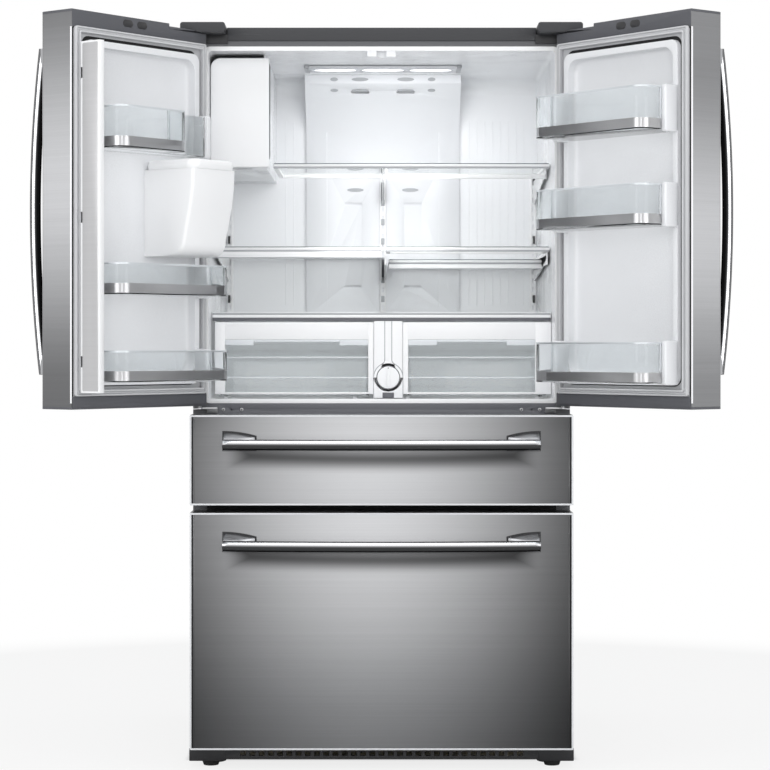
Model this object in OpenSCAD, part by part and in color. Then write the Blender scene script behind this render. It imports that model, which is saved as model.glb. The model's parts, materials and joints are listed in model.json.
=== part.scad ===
// French door refrigerator: two doors over a flexible drawer and a freezer drawer.
// Millimetres. X runs to the right, Y to the rear and Z up; the floor is Z = 0.
// The doors are drawn shut and then swung open about their pins, as they stand at rest.

/* [Case] */
// Width of the steel case
case_w = 908; // [880:1:940]
// Depth of the steel case, from its front flange to its rear panel
case_d = 749; // [735:1:790]
// Thickness of the sheet steel
sheet = 1; // [0.8:0.1:1.5]
// Thickness of the insulated side walls
side_wall = 36; // [34:1:42]
// Thickness of the insulated roof
roof = 33; // [28:1:40]
// Thickness of the moulded liners
liner_t = 2.5; // [2:0.5:4]
// Depth of the fresh food compartment
fridge_d = 655; // [640:5:670]
// Depth of the two drawer compartments
drawer_d = 600; // [560:5:620]
// Height of the machine compartment at the rear
machine_h = 250; // [240:5:280]
// Depth of the machine compartment
machine_d = 225; // [215:5:240]

/* [Fronts] */
// Clearance under the case
foot_h = 19; // [15:1:30]
// Height of the base behind the toe grille
base_h = 31; // [28:1:40]
// Height of the freezer drawer front
freezer_h = 560; // [540:5:600]
// Gap between the two drawer fronts
drawer_gap = 18; // [12:1:24]
// Height of the flexible drawer front
flex_h = 213; // [205:1:240]
// Gap between the flexible drawer front and the doors
door_gap = 20; // [18:1:26]
// Height of the doors
door_h = 903; // [890:1:930]
// Thickness of the doors and drawer fronts
front_t = 101; // [85:1:110]
// Gap behind the doors and drawer fronts, filled by the seals
seal_gap = 13; // [11:0.5:16]
// Gap between the two doors
centre_gap = 6; // [4:1:10]
// How far the door tops stand above the case
door_rise = 15; // [12:1:18]
// Radius of the upright front edges of the doors
edge_r = 12; // [6:1:18]

/* [Hinges] */
// Angle at which the doors rest open
door_open = 128; // [90:1:128]
// Distance from a door's outer edge to its hinge pin
pin_inset = 12; // [12:1:16]
// Distance from a door's inner face to its hinge pin
pin_depth = 15.5; // [15:0.5:20]
// Radius of the hinge pins
pin_r = 5; // [3:0.5:6]
// Height of the covers above the case
cover_h = 29; // [27:1:36]

/* [Handles] */
// Length of every handle
handle_l = 750; // [600:10:780]
// Radius of the handle bars
handle_r = 13; // [9:0.5:15]
// Reach of the handle bars from the fronts
handle_reach = 68; // [62:1:80]
// Bow of the handle bars from their ends to their middle
handle_bow = 30; // [10:1:32]
// Distance from a door's free edge to its handle
handle_inset = 38; // [34:1:60]

/* [Door inners] */
// Width of the moulded dike round each door
dike_w = 15; // [12:1:20]
// Height of the dike
dike_h = 12; // [8:1:20]
// Height of the wings that carry the door bins
wing_h = 50; // [40:1:52]
// Depth of the recess inside the dike
recess = 12; // [6:1:16]
// Reach of the door bins from the door's inner face
bin_reach = 115; // [100:1:116]
// Wall of the door bins
bin_wall = 3; // [2:0.5:4]
// Reach of the ice chute housing from the door's inner face
chute_reach = 148; // [120:1:150]
// Width of the folding mullion
mullion_w = 65; // [60:1:70]
// Thickness of the folding mullion
mullion_t = 20; // [16:1:22]
// Radius of the mullion's hinge pins
mullion_pin_r = 3; // [2:0.5:4]

/* [Interior] */
// Height of the top shelf above the fresh food floor
top_shelf_z = 581; // [575:1:590]
// Height of the middle shelves above the fresh food floor
mid_shelf_z = 375; // [370:1:390]
// Height of the crisper cover above the fresh food floor
crisper_z = 213; // [200:1:220]
// Distance of the shelf fronts behind the case front
shelf_front = 150; // [148:1:170]
// Thickness of the shelf glass
glass_t = 4; // [3:0.5:6]
// Pitch of the slots in the shelf tracks
slot_pitch = 24; // [22:1:30]
// Width of the ice compartment
ice_w = 144; // [140:1:150]
// Height of the ice compartment
ice_h = 276; // [270:1:280]
// Outer radius of the ice auger
auger_r = 34; // [24:1:38]
// Radius of the auger shaft
auger_shaft_r = 5; // [4:0.5:7]
// Radius of the water filter's knob
filter_r = 28; // [22:1:30]
// Wall of the crispers, baskets and ice bucket
tub_wall = 3; // [2:0.5:4]

/* [Underside] */
// Radius of the levelling feet
foot_r = 28; // [20:1:30]
// Radius of the rear rollers
roller_r = 20; // [18:1:24]
// Radius of the roller axles
axle_r = 4; // [3:0.5:5]

/* [Hidden] */
$fn = 48;

// clearances
fit = 0.3;        // between parts that are set against each other
running = 0.05;   // radial, round a turning pin
cut = 1;          // how far a cutter passes the face that it opens

// case
half_w = case_w / 2;
inner_x = half_w - side_wall;
liner_x = inner_x + liner_t;
case_z = foot_h + 11;
freezer_z = foot_h + base_h;
flex_z = freezer_z + freezer_h + drawer_gap;
door_z = flex_z + flex_h + door_gap;
door_top = door_z + door_h;
case_top = door_top - door_rise;
lap = 14;         // overlap of a front on the opening that it shuts
fridge_z0 = door_z + lap;
fridge_z1 = case_top - roof;
flex_z0 = flex_z + lap;
flex_z1 = flex_z + flex_h - lap;
freezer_z0 = freezer_z + 40;
freezer_z1 = freezer_z + freezer_h - lap;
rear_y = case_d - sheet;
machine_y = case_d - machine_d;
machine_top = freezer_z + machine_h;
step_y = machine_y - 45;      // depth of the freezer beside the machine compartment
step_z = machine_top + 45;    // floor of the freezer above it

// fronts and doors, drawn shut
door_x = half_w - 2;
free_x = centre_gap / 2;
door_w = door_x - free_x;
door_in = -seal_gap;
door_out = -seal_gap - front_t;
pin_x = door_x - pin_inset;
pin_y = door_in - pin_depth;
cap_t = 6;
cap_strip = 40;
base_strip = 14;
gasket_t = seal_gap - 0.5;
gasket_w = 14;

// folding mullion, drawn folded along the left door's free edge
fold_y = mullion_t / 2 + 0.25;
fold_x = -mullion_w / 2 + fold_y;
mullion_z0 = door_z + 38;
mullion_z1 = door_top - 75;
lug_h = 24;
wing_more = 4;
lug_z = [mullion_z0 + 70, (mullion_z0 + mullion_z1) / 2, mullion_z1 - 70];

// door inner mouldings
dike_hinge = inner_x - 4;
dike_free = mullion_w / 2 + 2.5;
dike_z0 = fridge_z0 + 8;
dike_z1 = fridge_z1 - 8;
bin_x0 = -dike_hinge + dike_w + 0.5;
bin_x1 = -dike_free - dike_w - 0.5;
bin_y0 = door_in - recess + 0.5;
bin_y1 = door_in + bin_reach;
over_wing = door_in + wing_h + 0.5;
// interior
ice_x0 = -inner_x;
ice_x1 = -inner_x + ice_w;
ice_z0 = fridge_z1 - ice_h;
ice_y = 62;
housing_y = ice_y + 18;
track_y = fridge_d - 12;
centre_x = 3.5;
light_w = 400;
light_y = [300, 480];
top_z = fridge_z0 + top_shelf_z;
mid_z = fridge_z0 + mid_shelf_z;
cover_z = fridge_z0 + crisper_z;
crisper_y = 112;
crisper_floor = fridge_z0 + 5;
filter_x = 16.5;
filter_z = fridge_z0 + 52;

// door bins, each with its base above the door's foot and its height
left_bin_levels = [[62, 71], [260, 71], [ice_z0 + 11 - door_z, 95]];
right_bin_levels = [[59, 93], [416, 93], [door_h - 272, 98]];

// drawer slides: three nested channels on each side
rail_h = 40;
rail_t = 1.2;
rail_gap = 0.4;
rail_l = 500;
freezer_rail_l = min(rail_l, step_y - 4);
flex_rail_z = flex_z0 + 60;
freezer_rail_z = freezer_z0 + 250;
outer_rail_w = 11;
middle_rail_w = outer_rail_w - rail_t - rail_gap;
inner_rail_w = 9;
basket_x = inner_x - 33;
flex_handle_drop = 61;       // from the top of the flexible drawer's front
freezer_handle_drop = 73;    // from the top of the freezer drawer's front

// dispenser in the left door
dispenser_x = -235;
dispenser_w = 190;
dispenser_h = 270;
dispenser_z0 = door_z + 270;
dispenser_z1 = dispenser_z0 + dispenser_h;
dispenser_d = 75;
lever_z = dispenser_z1 - 14;
lever_y = door_out + dispenser_d - 20;

// water inlet, which reaches furthest to the rear
inlet_r = 5.5;
inlet_l = 15;
inlet_reach = 9 + inlet_l;

// the box round the whole model is centred on the origin, doors open
front_reach = pin_y - (pin_x - mullion_w / 2 + mullion_t) * sin(door_open)
    + (mullion_w - pin_y) * cos(door_open);
mid_y = (case_d + inlet_reach + front_reach) / 2;

// ---- helpers ----

module in_case() translate([0, -mid_y, 0]) children();

// swings what is drawn on the shut left door to where the open door stands
module on_left_door()
    in_case() translate([-pin_x, pin_y, 0]) rotate([0, 0, -door_open]) translate([pin_x, -pin_y, 0])
        children();

module on_right_door() mirror([1, 0, 0]) on_left_door() children();

module slab(x, y, z)
    translate([x[0], y[0], z[0]]) cube([x[1] - x[0], y[1] - y[0], z[1] - z[0]]);

function arc_points(cx, cy, r, a0, a1, n = 5) =
    [for (i = [0:n]) [cx + r * cos(a0 + (a1 - a0) * i / n), cy + r * sin(a0 + (a1 - a0) * i / n)]];

// rectangle with round corners
function round_rect(x, y, r) = concat(
    arc_points(x[1] - r, y[1] - r, r, 0, 90), arc_points(x[0] + r, y[1] - r, r, 90, 180),
    arc_points(x[0] + r, y[0] + r, r, 180, 270), arc_points(x[1] - r, y[0] + r, r, 270, 360));

// plate outlined in X and Z, between two depths
module plate_y(x, z, r, y)
    translate([0, y[1], 0]) rotate([90, 0, 0]) linear_extrude(y[1] - y[0])
        polygon(round_rect(x, z, r));

// prism outlined in Y and Z, between two widths
module prism_x(x, points)
    translate([x[0], 0, 0]) rotate([90, 0, 90]) linear_extrude(x[1] - x[0]) polygon(points);

module rod_x(x, y, z, r) translate([x[0], y, z]) rotate([0, 90, 0]) cylinder(r = r, h = x[1] - x[0]);

module rod_y(x, y, z, r) translate([x, y[1], z]) rotate([90, 0, 0]) cylinder(r = r, h = y[1] - y[0]);

module rod_z(x, y, z, r) translate([x, y, z[0]]) cylinder(r = r, h = z[1] - z[0]);

module both_sides() {
    children();
    mirror([1, 0, 0]) children();
}

// open box with round upright corners
module tub(x, y, z, r, t)
    difference() {
        translate([0, 0, z[0]]) linear_extrude(z[1] - z[0]) polygon(round_rect(x, y, r));
        translate([0, 0, z[0] + t]) linear_extrude(z[1] - z[0])
            polygon(round_rect([x[0] + t, x[1] - t], [y[0] + t, y[1] - t], max(r - t, 1)));
    }

// ---- case ----

module case_shell() color([0.55, 0.56, 0.58]) in_case()
    difference() {
        slab([-half_w, half_w], [0, rear_y], [case_z, case_top]);
        slab([sheet - half_w, half_w - sheet], [sheet, case_d], [0, case_top - sheet]);
        slab([-liner_x - fit, liner_x + fit], [-cut, case_d], [0, fridge_z1 + liner_t + fit]);
    }

module rear_panels() color([0.62, 0.63, 0.65]) in_case() {
    slab([-half_w, half_w], [rear_y, case_d], [machine_top + 15, case_top]);
    // louvred cover of the machine compartment
    difference() {
        slab([-half_w + 3, half_w - 3], [rear_y, case_d], [case_z, machine_top + 14]);
        for (i = [0:13], side = [-1, 1])
            slab([side * 210 - 120, side * 210 + 120], [0, case_d + cut],
                [case_z + 35 + i * 14, case_z + 41 + i * 14]);
        rod_y(half_w - 120, [rear_y - cut, case_d + cut], freezer_z + 20, 9);
    }
}

module insulation() color([0.93, 0.88, 0.72]) in_case() {
    back = rear_y - fit;
    side_in = liner_x + fit;
    roof_top = case_top - sheet - fit;
    both_sides()
        slab([side_in, half_w - sheet - fit], [sheet + fit, back], [freezer_z + fit, roof_top]);
    x = [-liner_x, liner_x];
    slab(x, [sheet + fit, back], [fridge_z1 + liner_t + fit, roof_top]);
    slab(x, [fridge_d + liner_t + fit, back], [fridge_z0 - liner_t, fridge_z1 + liner_t]);
    slab(x, [40 + fit, back], [flex_z1 + liner_t + fit, fridge_z0 - liner_t - fit]);
    slab(x, [drawer_d + liner_t + fit, back], [step_z - liner_t, flex_z1 + liner_t]);
    slab(x, [40 + fit, drawer_d + liner_t], [freezer_z1 + liner_t + fit, flex_z0 - liner_t - fit]);
    slab(x, [step_y + liner_t + fit, back], [machine_top + fit, step_z - liner_t - fit]);
    slab(x, [step_y + liner_t + fit, machine_y - fit], [freezer_z + fit, machine_top]);
    slab(x, [40 + fit, step_y + liner_t], [freezer_z + fit, freezer_z0 - liner_t - fit]);
}

// moulded box, open at the front, with round edges along its depth
module liner_box(z, depth, r)
    difference() {
        plate_y([-liner_x, liner_x], [z[0] - liner_t, z[1] + liner_t], r + liner_t, [0, depth + liner_t]);
        plate_y([-inner_x, inner_x], z, r, [-cut, depth]);
    }

module fridge_liner() color([0.95, 0.96, 0.97]) in_case() {
    difference() {
        liner_box([fridge_z0, fridge_z1], fridge_d, 12);
        plate_y([-ice_w / 4 + ice_x0 + ice_w / 2, ice_w / 4 + ice_x0 + ice_w / 2],
            [ice_z0 + 90, ice_z0 + 200], 6, [fridge_d - cut, fridge_d + liner_t + cut]);
    }
    // ledges under the crisper cover, and runners under the crispers
    both_sides() {
        slab([inner_x - 14, inner_x + cut], [140, fridge_d + cut], [cover_z - 14, cover_z - fit]);
        for (x = [60, inner_x - 40])
            slab([x, x + 10], [crisper_y + 20, fridge_d + cut], [fridge_z0 - cut, crisper_floor - fit]);
    }
    // catch of the folding mullion, under the ceiling
    translate([0, 0, fridge_z1 - 14])
        linear_extrude(14 + cut) polygon(concat([[-34, 2], [-34, 60]],
            arc_points(0, 60, 34, 180, 0, 8), [[34, 2], [12, 2]],
            arc_points(0, 14, 10, 0, 180, 6), [[-12, 2]]));
}

module flex_liner() color([0.93, 0.94, 0.95]) in_case() liner_box([flex_z0, flex_z1], drawer_d, 10);

module freezer_liner() color([0.93, 0.94, 0.95]) in_case()
    difference() {
        prism_x([-liner_x, liner_x], [[0, freezer_z0 - liner_t], [step_y + liner_t, freezer_z0 - liner_t],
            [step_y + liner_t, step_z - liner_t], [drawer_d + liner_t, step_z - liner_t],
            [drawer_d + liner_t, freezer_z1 + liner_t], [0, freezer_z1 + liner_t]]);
        prism_x([-inner_x, inner_x], [[-cut, freezer_z0], [step_y, freezer_z0], [step_y, step_z],
            [drawer_d, step_z], [drawer_d, freezer_z1], [-cut, freezer_z1]]);
    }

module cross_rails() color([0.25, 0.26, 0.28]) in_case() {
    x = [-liner_x, liner_x];
    difference() {
        slab(x, [0, 40], [flex_z1 + liner_t + fit, fridge_z0 - liner_t - fit]);
        both_sides() for (dx = [0, 22])
            rod_y(pin_x - 100 + dx, [-cut, 12], door_z - 10, 2.5);
    }
    slab(x, [0, 40], [freezer_z1 + liner_t + fit, flex_z0 - liner_t - fit]);
    slab(x, [0, 40], [freezer_z + fit, freezer_z0 - liner_t - fit]);
}

module top_covers() color([0.1, 0.1, 0.11]) in_case() {
    wall = 2.5;
    in_x = half_w - 80;
    top = case_top + cover_h;
    // one cover over each upper hinge
    both_sides() difference() {
        union() {
            slab([in_x, half_w - 1], [pin_y - 26, 1], [door_top + 1.5, top]);
            prism_x([in_x, half_w - 1], [[0, case_top + fit], [150, case_top + fit], [150, top - 9],
                [110, top], [0, top]]);
        }
        slab([in_x + wall, half_w - 1 - wall], [pin_y - 26 + wall, 1], [door_top, top - wall]);
        slab([in_x + wall, half_w - 1 - wall], [0, 100], [case_top, top - wall]);
    }
    // strip between them
    difference() {
        prism_x([2 - in_x, in_x - 2], [[-5, case_top - 10], [-0.3, case_top - 10], [-0.3, case_top + fit],
            [90, case_top + fit], [90, case_top + 12], [60, top - 7], [-5, top - 7]]);
        slab([5 - in_x, in_x - 5], [3, 57], [case_top, top - 10]);
    }
}

module upper_hinges() color([0.3, 0.3, 0.32]) in_case() both_sides() {
    x = [pin_x - 42, pin_x + 10];
    slab([x[0], x[1]], [10, 95], [case_top, case_top + 4]);
    slab([x[0], x[1]], [6, 10], [case_top, door_top + 6]);
    slab([x[0], x[1]], [pin_y, 6], [door_top + 2, door_top + 6]);
    rod_z(pin_x, pin_y, [door_top + 2, door_top + 6], 10);
    rod_z(pin_x, pin_y, [door_top - 22, door_top + 3], pin_r);
}

module lower_hinges() color([0.3, 0.3, 0.32]) in_case() both_sides() {
    x = [pin_x - 46, pin_x + 12];
    slab([x[0], x[1]], [pin_y, 0], [door_z - 9, door_z - 4]);
    slab([x[0], liner_x], [-4, 0], [door_z - 18, door_z - 4]);
    rod_z(pin_x, pin_y, [door_z - 9, door_z - 4], 12);
    rod_z(pin_x, pin_y, [door_z - 6, door_z + 20], pin_r);
    rod_z(pin_x, pin_y, [door_z - 5, door_z - 0.3], 9);
}

module base_frame() color([0.2, 0.2, 0.21]) in_case() {
    x_in = half_w - 60;
    difference() {
        union() {
            both_sides() slab([x_in, half_w - sheet - fit], [8, rear_y - fit], [case_z, freezer_z]);
            for (y = [8, step_y, rear_y - 60])
                slab([-x_in - cut, x_in + cut], [y, y + 45], [case_z, freezer_z]);
            slab([-x_in - cut, x_in + cut], [step_y, rear_y - fit], [freezer_z - 3, freezer_z]);
        }
        both_sides() {
            // pockets over the feet and the rollers
            rod_z(half_w - 50, 34, [0, freezer_z + cut], 6 + fit);
            slab([half_w - 62, half_w - 32], [rear_y - 78, rear_y - 22], [0, freezer_z - 4]);
        }
    }
    // axle plates of the rear rollers
    both_sides() for (x = [half_w - 64, half_w - 33])
        difference() {
            slab([x, x + 3], [rear_y - 66, rear_y - 34], [roller_r - 9, freezer_z - 2]);
            rod_x([x - cut, x + 3 + cut], rear_y - 50, roller_r, axle_r + running);
        }
}

module toe_grille() color([0.08, 0.08, 0.09]) in_case() {
    difference() {
        slab([-half_w + 4, half_w - 4], [-60, -56], [foot_h, freezer_z - 4]);
        for (i = [-15:15])
            slab([i * 22 - 7, i * 22 + 7], [-61, -55], [foot_h + 8, foot_h + 19]);
    }
    both_sides() slab([half_w - 30, half_w - 26], [-57, -fit], [foot_h + 2, freezer_z - 6]);
    slab([1 - liner_x, liner_x - 1], [-57, 8 - fit], [freezer_z - 7, freezer_z - 4]);
}

module front_feet() color([0.07, 0.07, 0.07]) in_case() both_sides() {
    rod_z(half_w - 50, 34, [0, 12], foot_r);
    rod_z(half_w - 50, 34, [11, case_z - fit], 11);
    rod_z(half_w - 50, 34, [11, freezer_z - 2], 6);
}

// compressor, condenser coil and the tubes that join them, charged and sealed as one
module sealed_system() color([0.1, 0.1, 0.1]) in_case() {
    cx = half_w - 190;
    cy = machine_y + 105;
    floor_z = freezer_z + fit;
    rod_z(cx, cy, [floor_z + 14, floor_z + 125], 78);
    translate([cx, cy, floor_z + 125]) intersection() {
        translate([0, 0, -60]) sphere(r = 98);
        cylinder(r = 77, h = 60);
    }
    for (a = [45:90:315])
        rod_z(cx + 92 * cos(a), cy + 92 * sin(a), [floor_z, floor_z + 16], 11);
    slab([cx - 76, cx + 76], [cy - 76, cy + 76], [floor_z + 14, floor_z + 18]);
    // condenser: a stack of straight tubes through two end plates
    coil_x = [-340, 45];
    coil_pitch = [45, 27];
    tube_r = 4;
    for (x = [coil_x[0] + 10, coil_x[1] - 15])
        slab([x, x + 3], [machine_y + 40, machine_y + 170], [floor_z, floor_z + 170]);
    for (row = [0:5], col = [0:2])
        rod_x(coil_x, machine_y + 60 + col * coil_pitch[0], floor_z + 25 + row * coil_pitch[1], tube_r);
    // discharge tube
    rod_x([coil_x[1] - 5, cx - 60], machine_y + 105, floor_z + 25 + 3 * coil_pitch[1], tube_r);
}

module water_valve() color([0.12, 0.12, 0.13]) in_case() {
    x = half_w - 120;
    z = freezer_z + 20;
    slab([x - 25, x + 25], [rear_y - 40, rear_y - fit], [freezer_z + fit, z + 22]);
    rod_y(x, [rear_y - 2, case_d + 10], z, 8);
    rod_y(x, [case_d + inlet_reach - inlet_l, case_d + inlet_reach], z, inlet_r);
    // gland of the supply lead
    rod_y(x - 70, [rear_y - 20, rear_y - fit], z, 12);
    slab([x - 82, x - 24], [rear_y - 20, rear_y - fit], [freezer_z + fit, z]);
}

// ---- fresh food interior ----

module duct_cover() color([0.9, 0.91, 0.93]) in_case() {
    x = [centre_x - 205, centre_x + 205];
    difference() {
        union() {
            // back column, and the deeper head under the ceiling
            plate_y(x, [cover_z - 8, fridge_z1 - fit], 6, [track_y, fridge_d - fit]);
            prism_x(x, [[track_y + cut, fridge_z1 - 130], [track_y - 80, fridge_z1 - 62],
                [track_y - 130, fridge_z1 - 22], [track_y - 130, fridge_z1 - fit],
                [track_y + cut, fridge_z1 - fit]]);
        }
        // air slots in the sloping head
        for (i = [-1, 1], row = [0, 1])
            plate_y([centre_x + i * 60 - 24, centre_x + i * 60 + 24],
                [fridge_z1 - 46 - row * 38, fridge_z1 - 38 - row * 38], 3.5,
                [track_y - 150, track_y - 70 - row * 20]);
        // air slots lower down the column
        for (i = [-1, 1], z = [mid_z + 130, cover_z + 70])
            plate_y([centre_x + i * 80 - 24, centre_x + i * 80 + 24], [z, z + 8], 3.5,
                [track_y - cut, track_y + 6]);
        // channel for the centre track
        slab([centre_x - 9, centre_x + 9], [track_y - cut, track_y + 9], [cover_z, top_z + 10]);
    }
}

// slots in a track, counted from the crisper cover up
function slot_z(n) = cover_z + 12 + n * slot_pitch;
slot_count = floor((top_z - cover_z) / slot_pitch);

module track(x, z1, y)
    difference() {
        slab([x - 8.5, x + 8.5], [y - 4, y], [cover_z + 2, z1]);
        for (n = [0:slot_count - 1])
            slab([x - 2.5, x + 2.5], [y - 4 - cut, y + cut], [slot_z(n), slot_z(n) + 13]);
    }

module shelf_tracks() color([0.75, 0.76, 0.78]) in_case() {
    track(centre_x, top_z + 8, track_y + 8.7);
    track(inner_x - 12, top_z + 8, fridge_d - fit);
    track(12 - inner_x, ice_z0 - 1, fridge_d - fit);
}

// cantilever arm, highest at the track, which carries a shelf from below
module arm(x, z, y0, y1, drop)
    prism_x([x - 1.5, x + 1.5], [[y1, z], [y1, z - drop], [y1 - 30, z - drop], [y0, z - 12], [y0, z]]);

// glass in a moulded rim, with a deeper nose along its front
module shelf(x, y, z, nose)
    union() {
        difference() {
            plate_xy(x, y, 10, [z - 12, z]);
            plate_xy([x[0] + 12, x[1] - 12], [y[0] + 14, y[1] - 14], 6, [z - 13, z + 1]);
        }
        plate_xy([x[0] + 11, x[1] - 11], [y[0] + 13, y[1] - 13], 6, [z - 2 - glass_t, z - 2]);
        plate_y([x[0], x[1]], [z - nose, z], 3, [y[0] - 5, y[0] + 3]);
    }

module plate_xy(x, y, r, z) translate([0, 0, z[0]]) linear_extrude(z[1] - z[0]) polygon(round_rect(x, y, r));

shelf_rear = track_y - 8;
side_arm_x = inner_x - 12;

module top_shelf() color([0.85, 0.88, 0.9]) in_case() {
    shelf([ice_x1 + 6, inner_x - 3], [shelf_front, track_y - 135], top_z, 24);
    for (x = [centre_x, side_arm_x])
        arm(x, top_z - 11, shelf_front + 40, x == centre_x ? track_y + 4.5 : fridge_d - 4 - fit - fit, 60);
}

module left_shelf() color([0.85, 0.88, 0.9]) in_case() {
    shelf([3 - inner_x, centre_x - 6], [shelf_front, shelf_rear], mid_z, 28);
    arm(centre_x - 4.5, mid_z - 11, shelf_front + 40, track_y + 4.5, 60);
    arm(-side_arm_x, mid_z - 11, shelf_front + 40, fridge_d - 4 - fit - fit, 60);
}

half_y = shelf_front + 150;
right_x = [centre_x + 6, inner_x - 3];

module right_shelf() color([0.85, 0.88, 0.9]) in_case() {
    shelf([right_x[0] + 9, right_x[1] - 9], [half_y, shelf_rear], mid_z - 26, 14);
    // side rails that carry both halves
    for (x = [right_x[0] + 3, right_x[1] - 5]) difference() {
        prism_x([x - 2.5, x + 3.5], [[track_y - 6, mid_z - 12 - fit], [track_y - 6, mid_z - 74],
            [track_y - 46, mid_z - 74], [shelf_front + 30, mid_z - 44], [shelf_front + 10, mid_z - 32],
            [shelf_front + 10, mid_z - 12 - fit]]);
    }
    arm(centre_x + 4.5, mid_z - 20, track_y - 60, track_y + 4.5, 50);
    arm(side_arm_x, mid_z - 20, track_y - 60, fridge_d - 4 - fit - fit, 50);
    // blocks that join the arms to the rails
    slab([centre_x + 4, right_x[0] + 2], [track_y - 56, track_y - 10], [mid_z - 60, mid_z - 22]);
    slab([side_arm_x - 1, right_x[1] - 4], [track_y - 56, track_y - 10], [mid_z - 60, mid_z - 22]);
}

module half_shelf() color([0.85, 0.88, 0.9]) in_case() {
    shelf(right_x, [shelf_front, half_y - 2], mid_z, 12);
}

module crisper_cover() color([0.88, 0.9, 0.92]) in_case() {
    x = [2 - inner_x, inner_x - 2];
    difference() {
        slab(x, [crisper_y + 3, fridge_d - 15], [cover_z, cover_z + 10]);
        for (side = [-1, 1])
            plate_xy(side < 0 ? [x[0] + 14, -12] : [30, x[1] - 14], [crisper_y + 30, fridge_d - 45], 8,
                [cover_z - 1, cover_z + 11]);
    }
    for (side = [-1, 1])
        plate_xy(side < 0 ? [x[0] + 13, -11] : [29, x[1] - 13], [crisper_y + 29, fridge_d - 44], 8,
            [cover_z + 3, cover_z + 3 + glass_t]);
    // front trim
    plate_y(x, [cover_z - 22, cover_z + 1], 3, [crisper_y - 2, crisper_y + 4]);
}

// housing between the crispers, with the bore that the filter knob turns in
module filter_housing() color([0.92, 0.93, 0.94]) in_case() {
    y = [crisper_y + 1, crisper_y + 9];
    difference() {
        union() {
            slab([filter_x - 10, filter_x + 10], [y[0], fridge_d - 15], [filter_z + 30, cover_z - 24]);
            rod_y(filter_x, [y[0], fridge_d - 60], filter_z, filter_r + 4);
            slab([filter_x - 10, filter_x + 10], [y[1], fridge_d - 60], [fridge_z0 + fit, filter_z]);
        }
        rod_y(filter_x, [y[0] - cut, y[0] + 40], filter_z, filter_r + running);
    }
}

module filter_knob() color([0.96, 0.96, 0.96]) in_case() {
    y = crisper_y - 4;
    rod_y(filter_x, [y, y + 40], filter_z, filter_r);
    slab([filter_x - 4, filter_x + 4], [y - 6, y + 1], [filter_z - filter_r + 6, filter_z + filter_r - 6]);
}

// drawer with a framed window in its front
module crisper(x) {
    front_y = [crisper_y - 2, crisper_y + 8];
    z = [crisper_floor, cover_z - 25];
    difference() {
        plate_y(x, [z[0] + 6, z[1]], 5, front_y);
        plate_y([x[0] + 26, x[1] - 33], [z[0] + 16, z[1] - 12], 5, [front_y[0] - cut, front_y[1] + cut]);
    }
    difference() {
        tub([x[0] + 12, x[1] - 12], [front_y[1] - 1, fridge_d - 40], z, 12, tub_wall);
        slab([x[0] + 26, x[1] - 33], [front_y[1] - 2, front_y[1] + 1], [z[0] + 16, z[1] - 12]);
    }
    plate_y([x[0] + 25, x[1] - 32], [z[0] + 15, z[1] - 11], 5, [front_y[0] + 2, front_y[0] + 5]);
}

module left_crisper() color([0.85, 0.9, 0.92]) in_case()
    crisper([9 - inner_x, filter_x - filter_r - 8]);

module right_crisper() color([0.85, 0.9, 0.92]) in_case()
    mirror([1, 0, 0]) crisper([1 - inner_x, -filter_x - filter_r - 8]);

module ice_housing() color([0.95, 0.96, 0.97]) in_case() {
    wall = 6;
    difference() {
        union() {
            slab([ice_x1 - 8 - wall, ice_x1 - 8], [housing_y, fridge_d - fit], [ice_z0, fridge_z1 - fit]);
            slab([ice_x0 + fit, ice_x1 - 9], [housing_y, fridge_d - fit], [ice_z0, ice_z0 + wall]);
        }
        // outlet over the chute in the door
        rod_z(ice_x0 + 70, ice_y + 62, [ice_z0 - cut, ice_z0 + wall + cut], 32);
    }
    // ice maker under the ceiling of the housing
    difference() {
        slab([ice_x0 + 12, ice_x1 - 14], [ice_y + 150, fridge_d - 60], [fridge_z1 - 78, fridge_z1 - 22]);
        for (i = [0:5])
            slab([ice_x0 + 20, ice_x1 - 22], [ice_y + 160 + i * 42, ice_y + 196 + i * 42],
                [fridge_z1 - 66, fridge_z1]);
    }
    slab([ice_x0 + 16, ice_x0 + 24], [ice_y + 160, fridge_d - 80], [fridge_z1 - 23, fridge_z1 - fit]);
    // auger drive behind the bucket
    slab([ice_x0 + 18, ice_x1 - 20], [fridge_d - 90, fridge_d - fit], [ice_z0 + wall - cut, ice_z0 + 110]);
}

bucket_y = [ice_y + 15, fridge_d - 96];
auger_x = ice_x0 + 66;
auger_z = ice_z0 + 58;

module ice_bucket() color([0.93, 0.94, 0.95]) in_case() {
    difference() {
        union() {
            tub([ice_x0 + 6, ice_x1 - 18], bucket_y, [ice_z0 + 6 + fit, ice_z0 + 150], 8, tub_wall);
            // insulated front
            difference() {
                translate([0, bucket_y[0] + 2, 0]) rotate([90, 0, 0]) linear_extrude(17) polygon(concat(
                    arc_points(ice_x0 + 25, fridge_z1 - 37, 23, 90, 180, 8),
                    [[ice_x0 + 2, ice_z0 + 2], [ice_x1, ice_z0 + 2], [ice_x1, fridge_z1 - 14]]));
            }
        }
        rod_z(ice_x0 + 70, ice_y + 62, [ice_z0, ice_z0 + 20], 31);
        rod_y(auger_x, [bucket_y[0] + 1, bucket_y[1] + cut], auger_z, auger_shaft_r + running);
    }
}

// wire-flight auger that pushes the ice to the outlet
module ice_auger() color([0.7, 0.72, 0.75]) in_case() {
    y = [bucket_y[0] + 1 + fit, bucket_y[1] + 2];
    rod_y(auger_x, y, auger_z, auger_shaft_r);
    turns = 4;
    flight = [bucket_y[0] + 14, bucket_y[1] - 14];
    translate([auger_x, flight[1], auger_z]) rotate([90, 0, 0])
        linear_extrude(flight[1] - flight[0], twist = 360 * turns, slices = turns * 18)
            translate([-auger_r, -3]) square([auger_r * 2, 6]);
}

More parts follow.
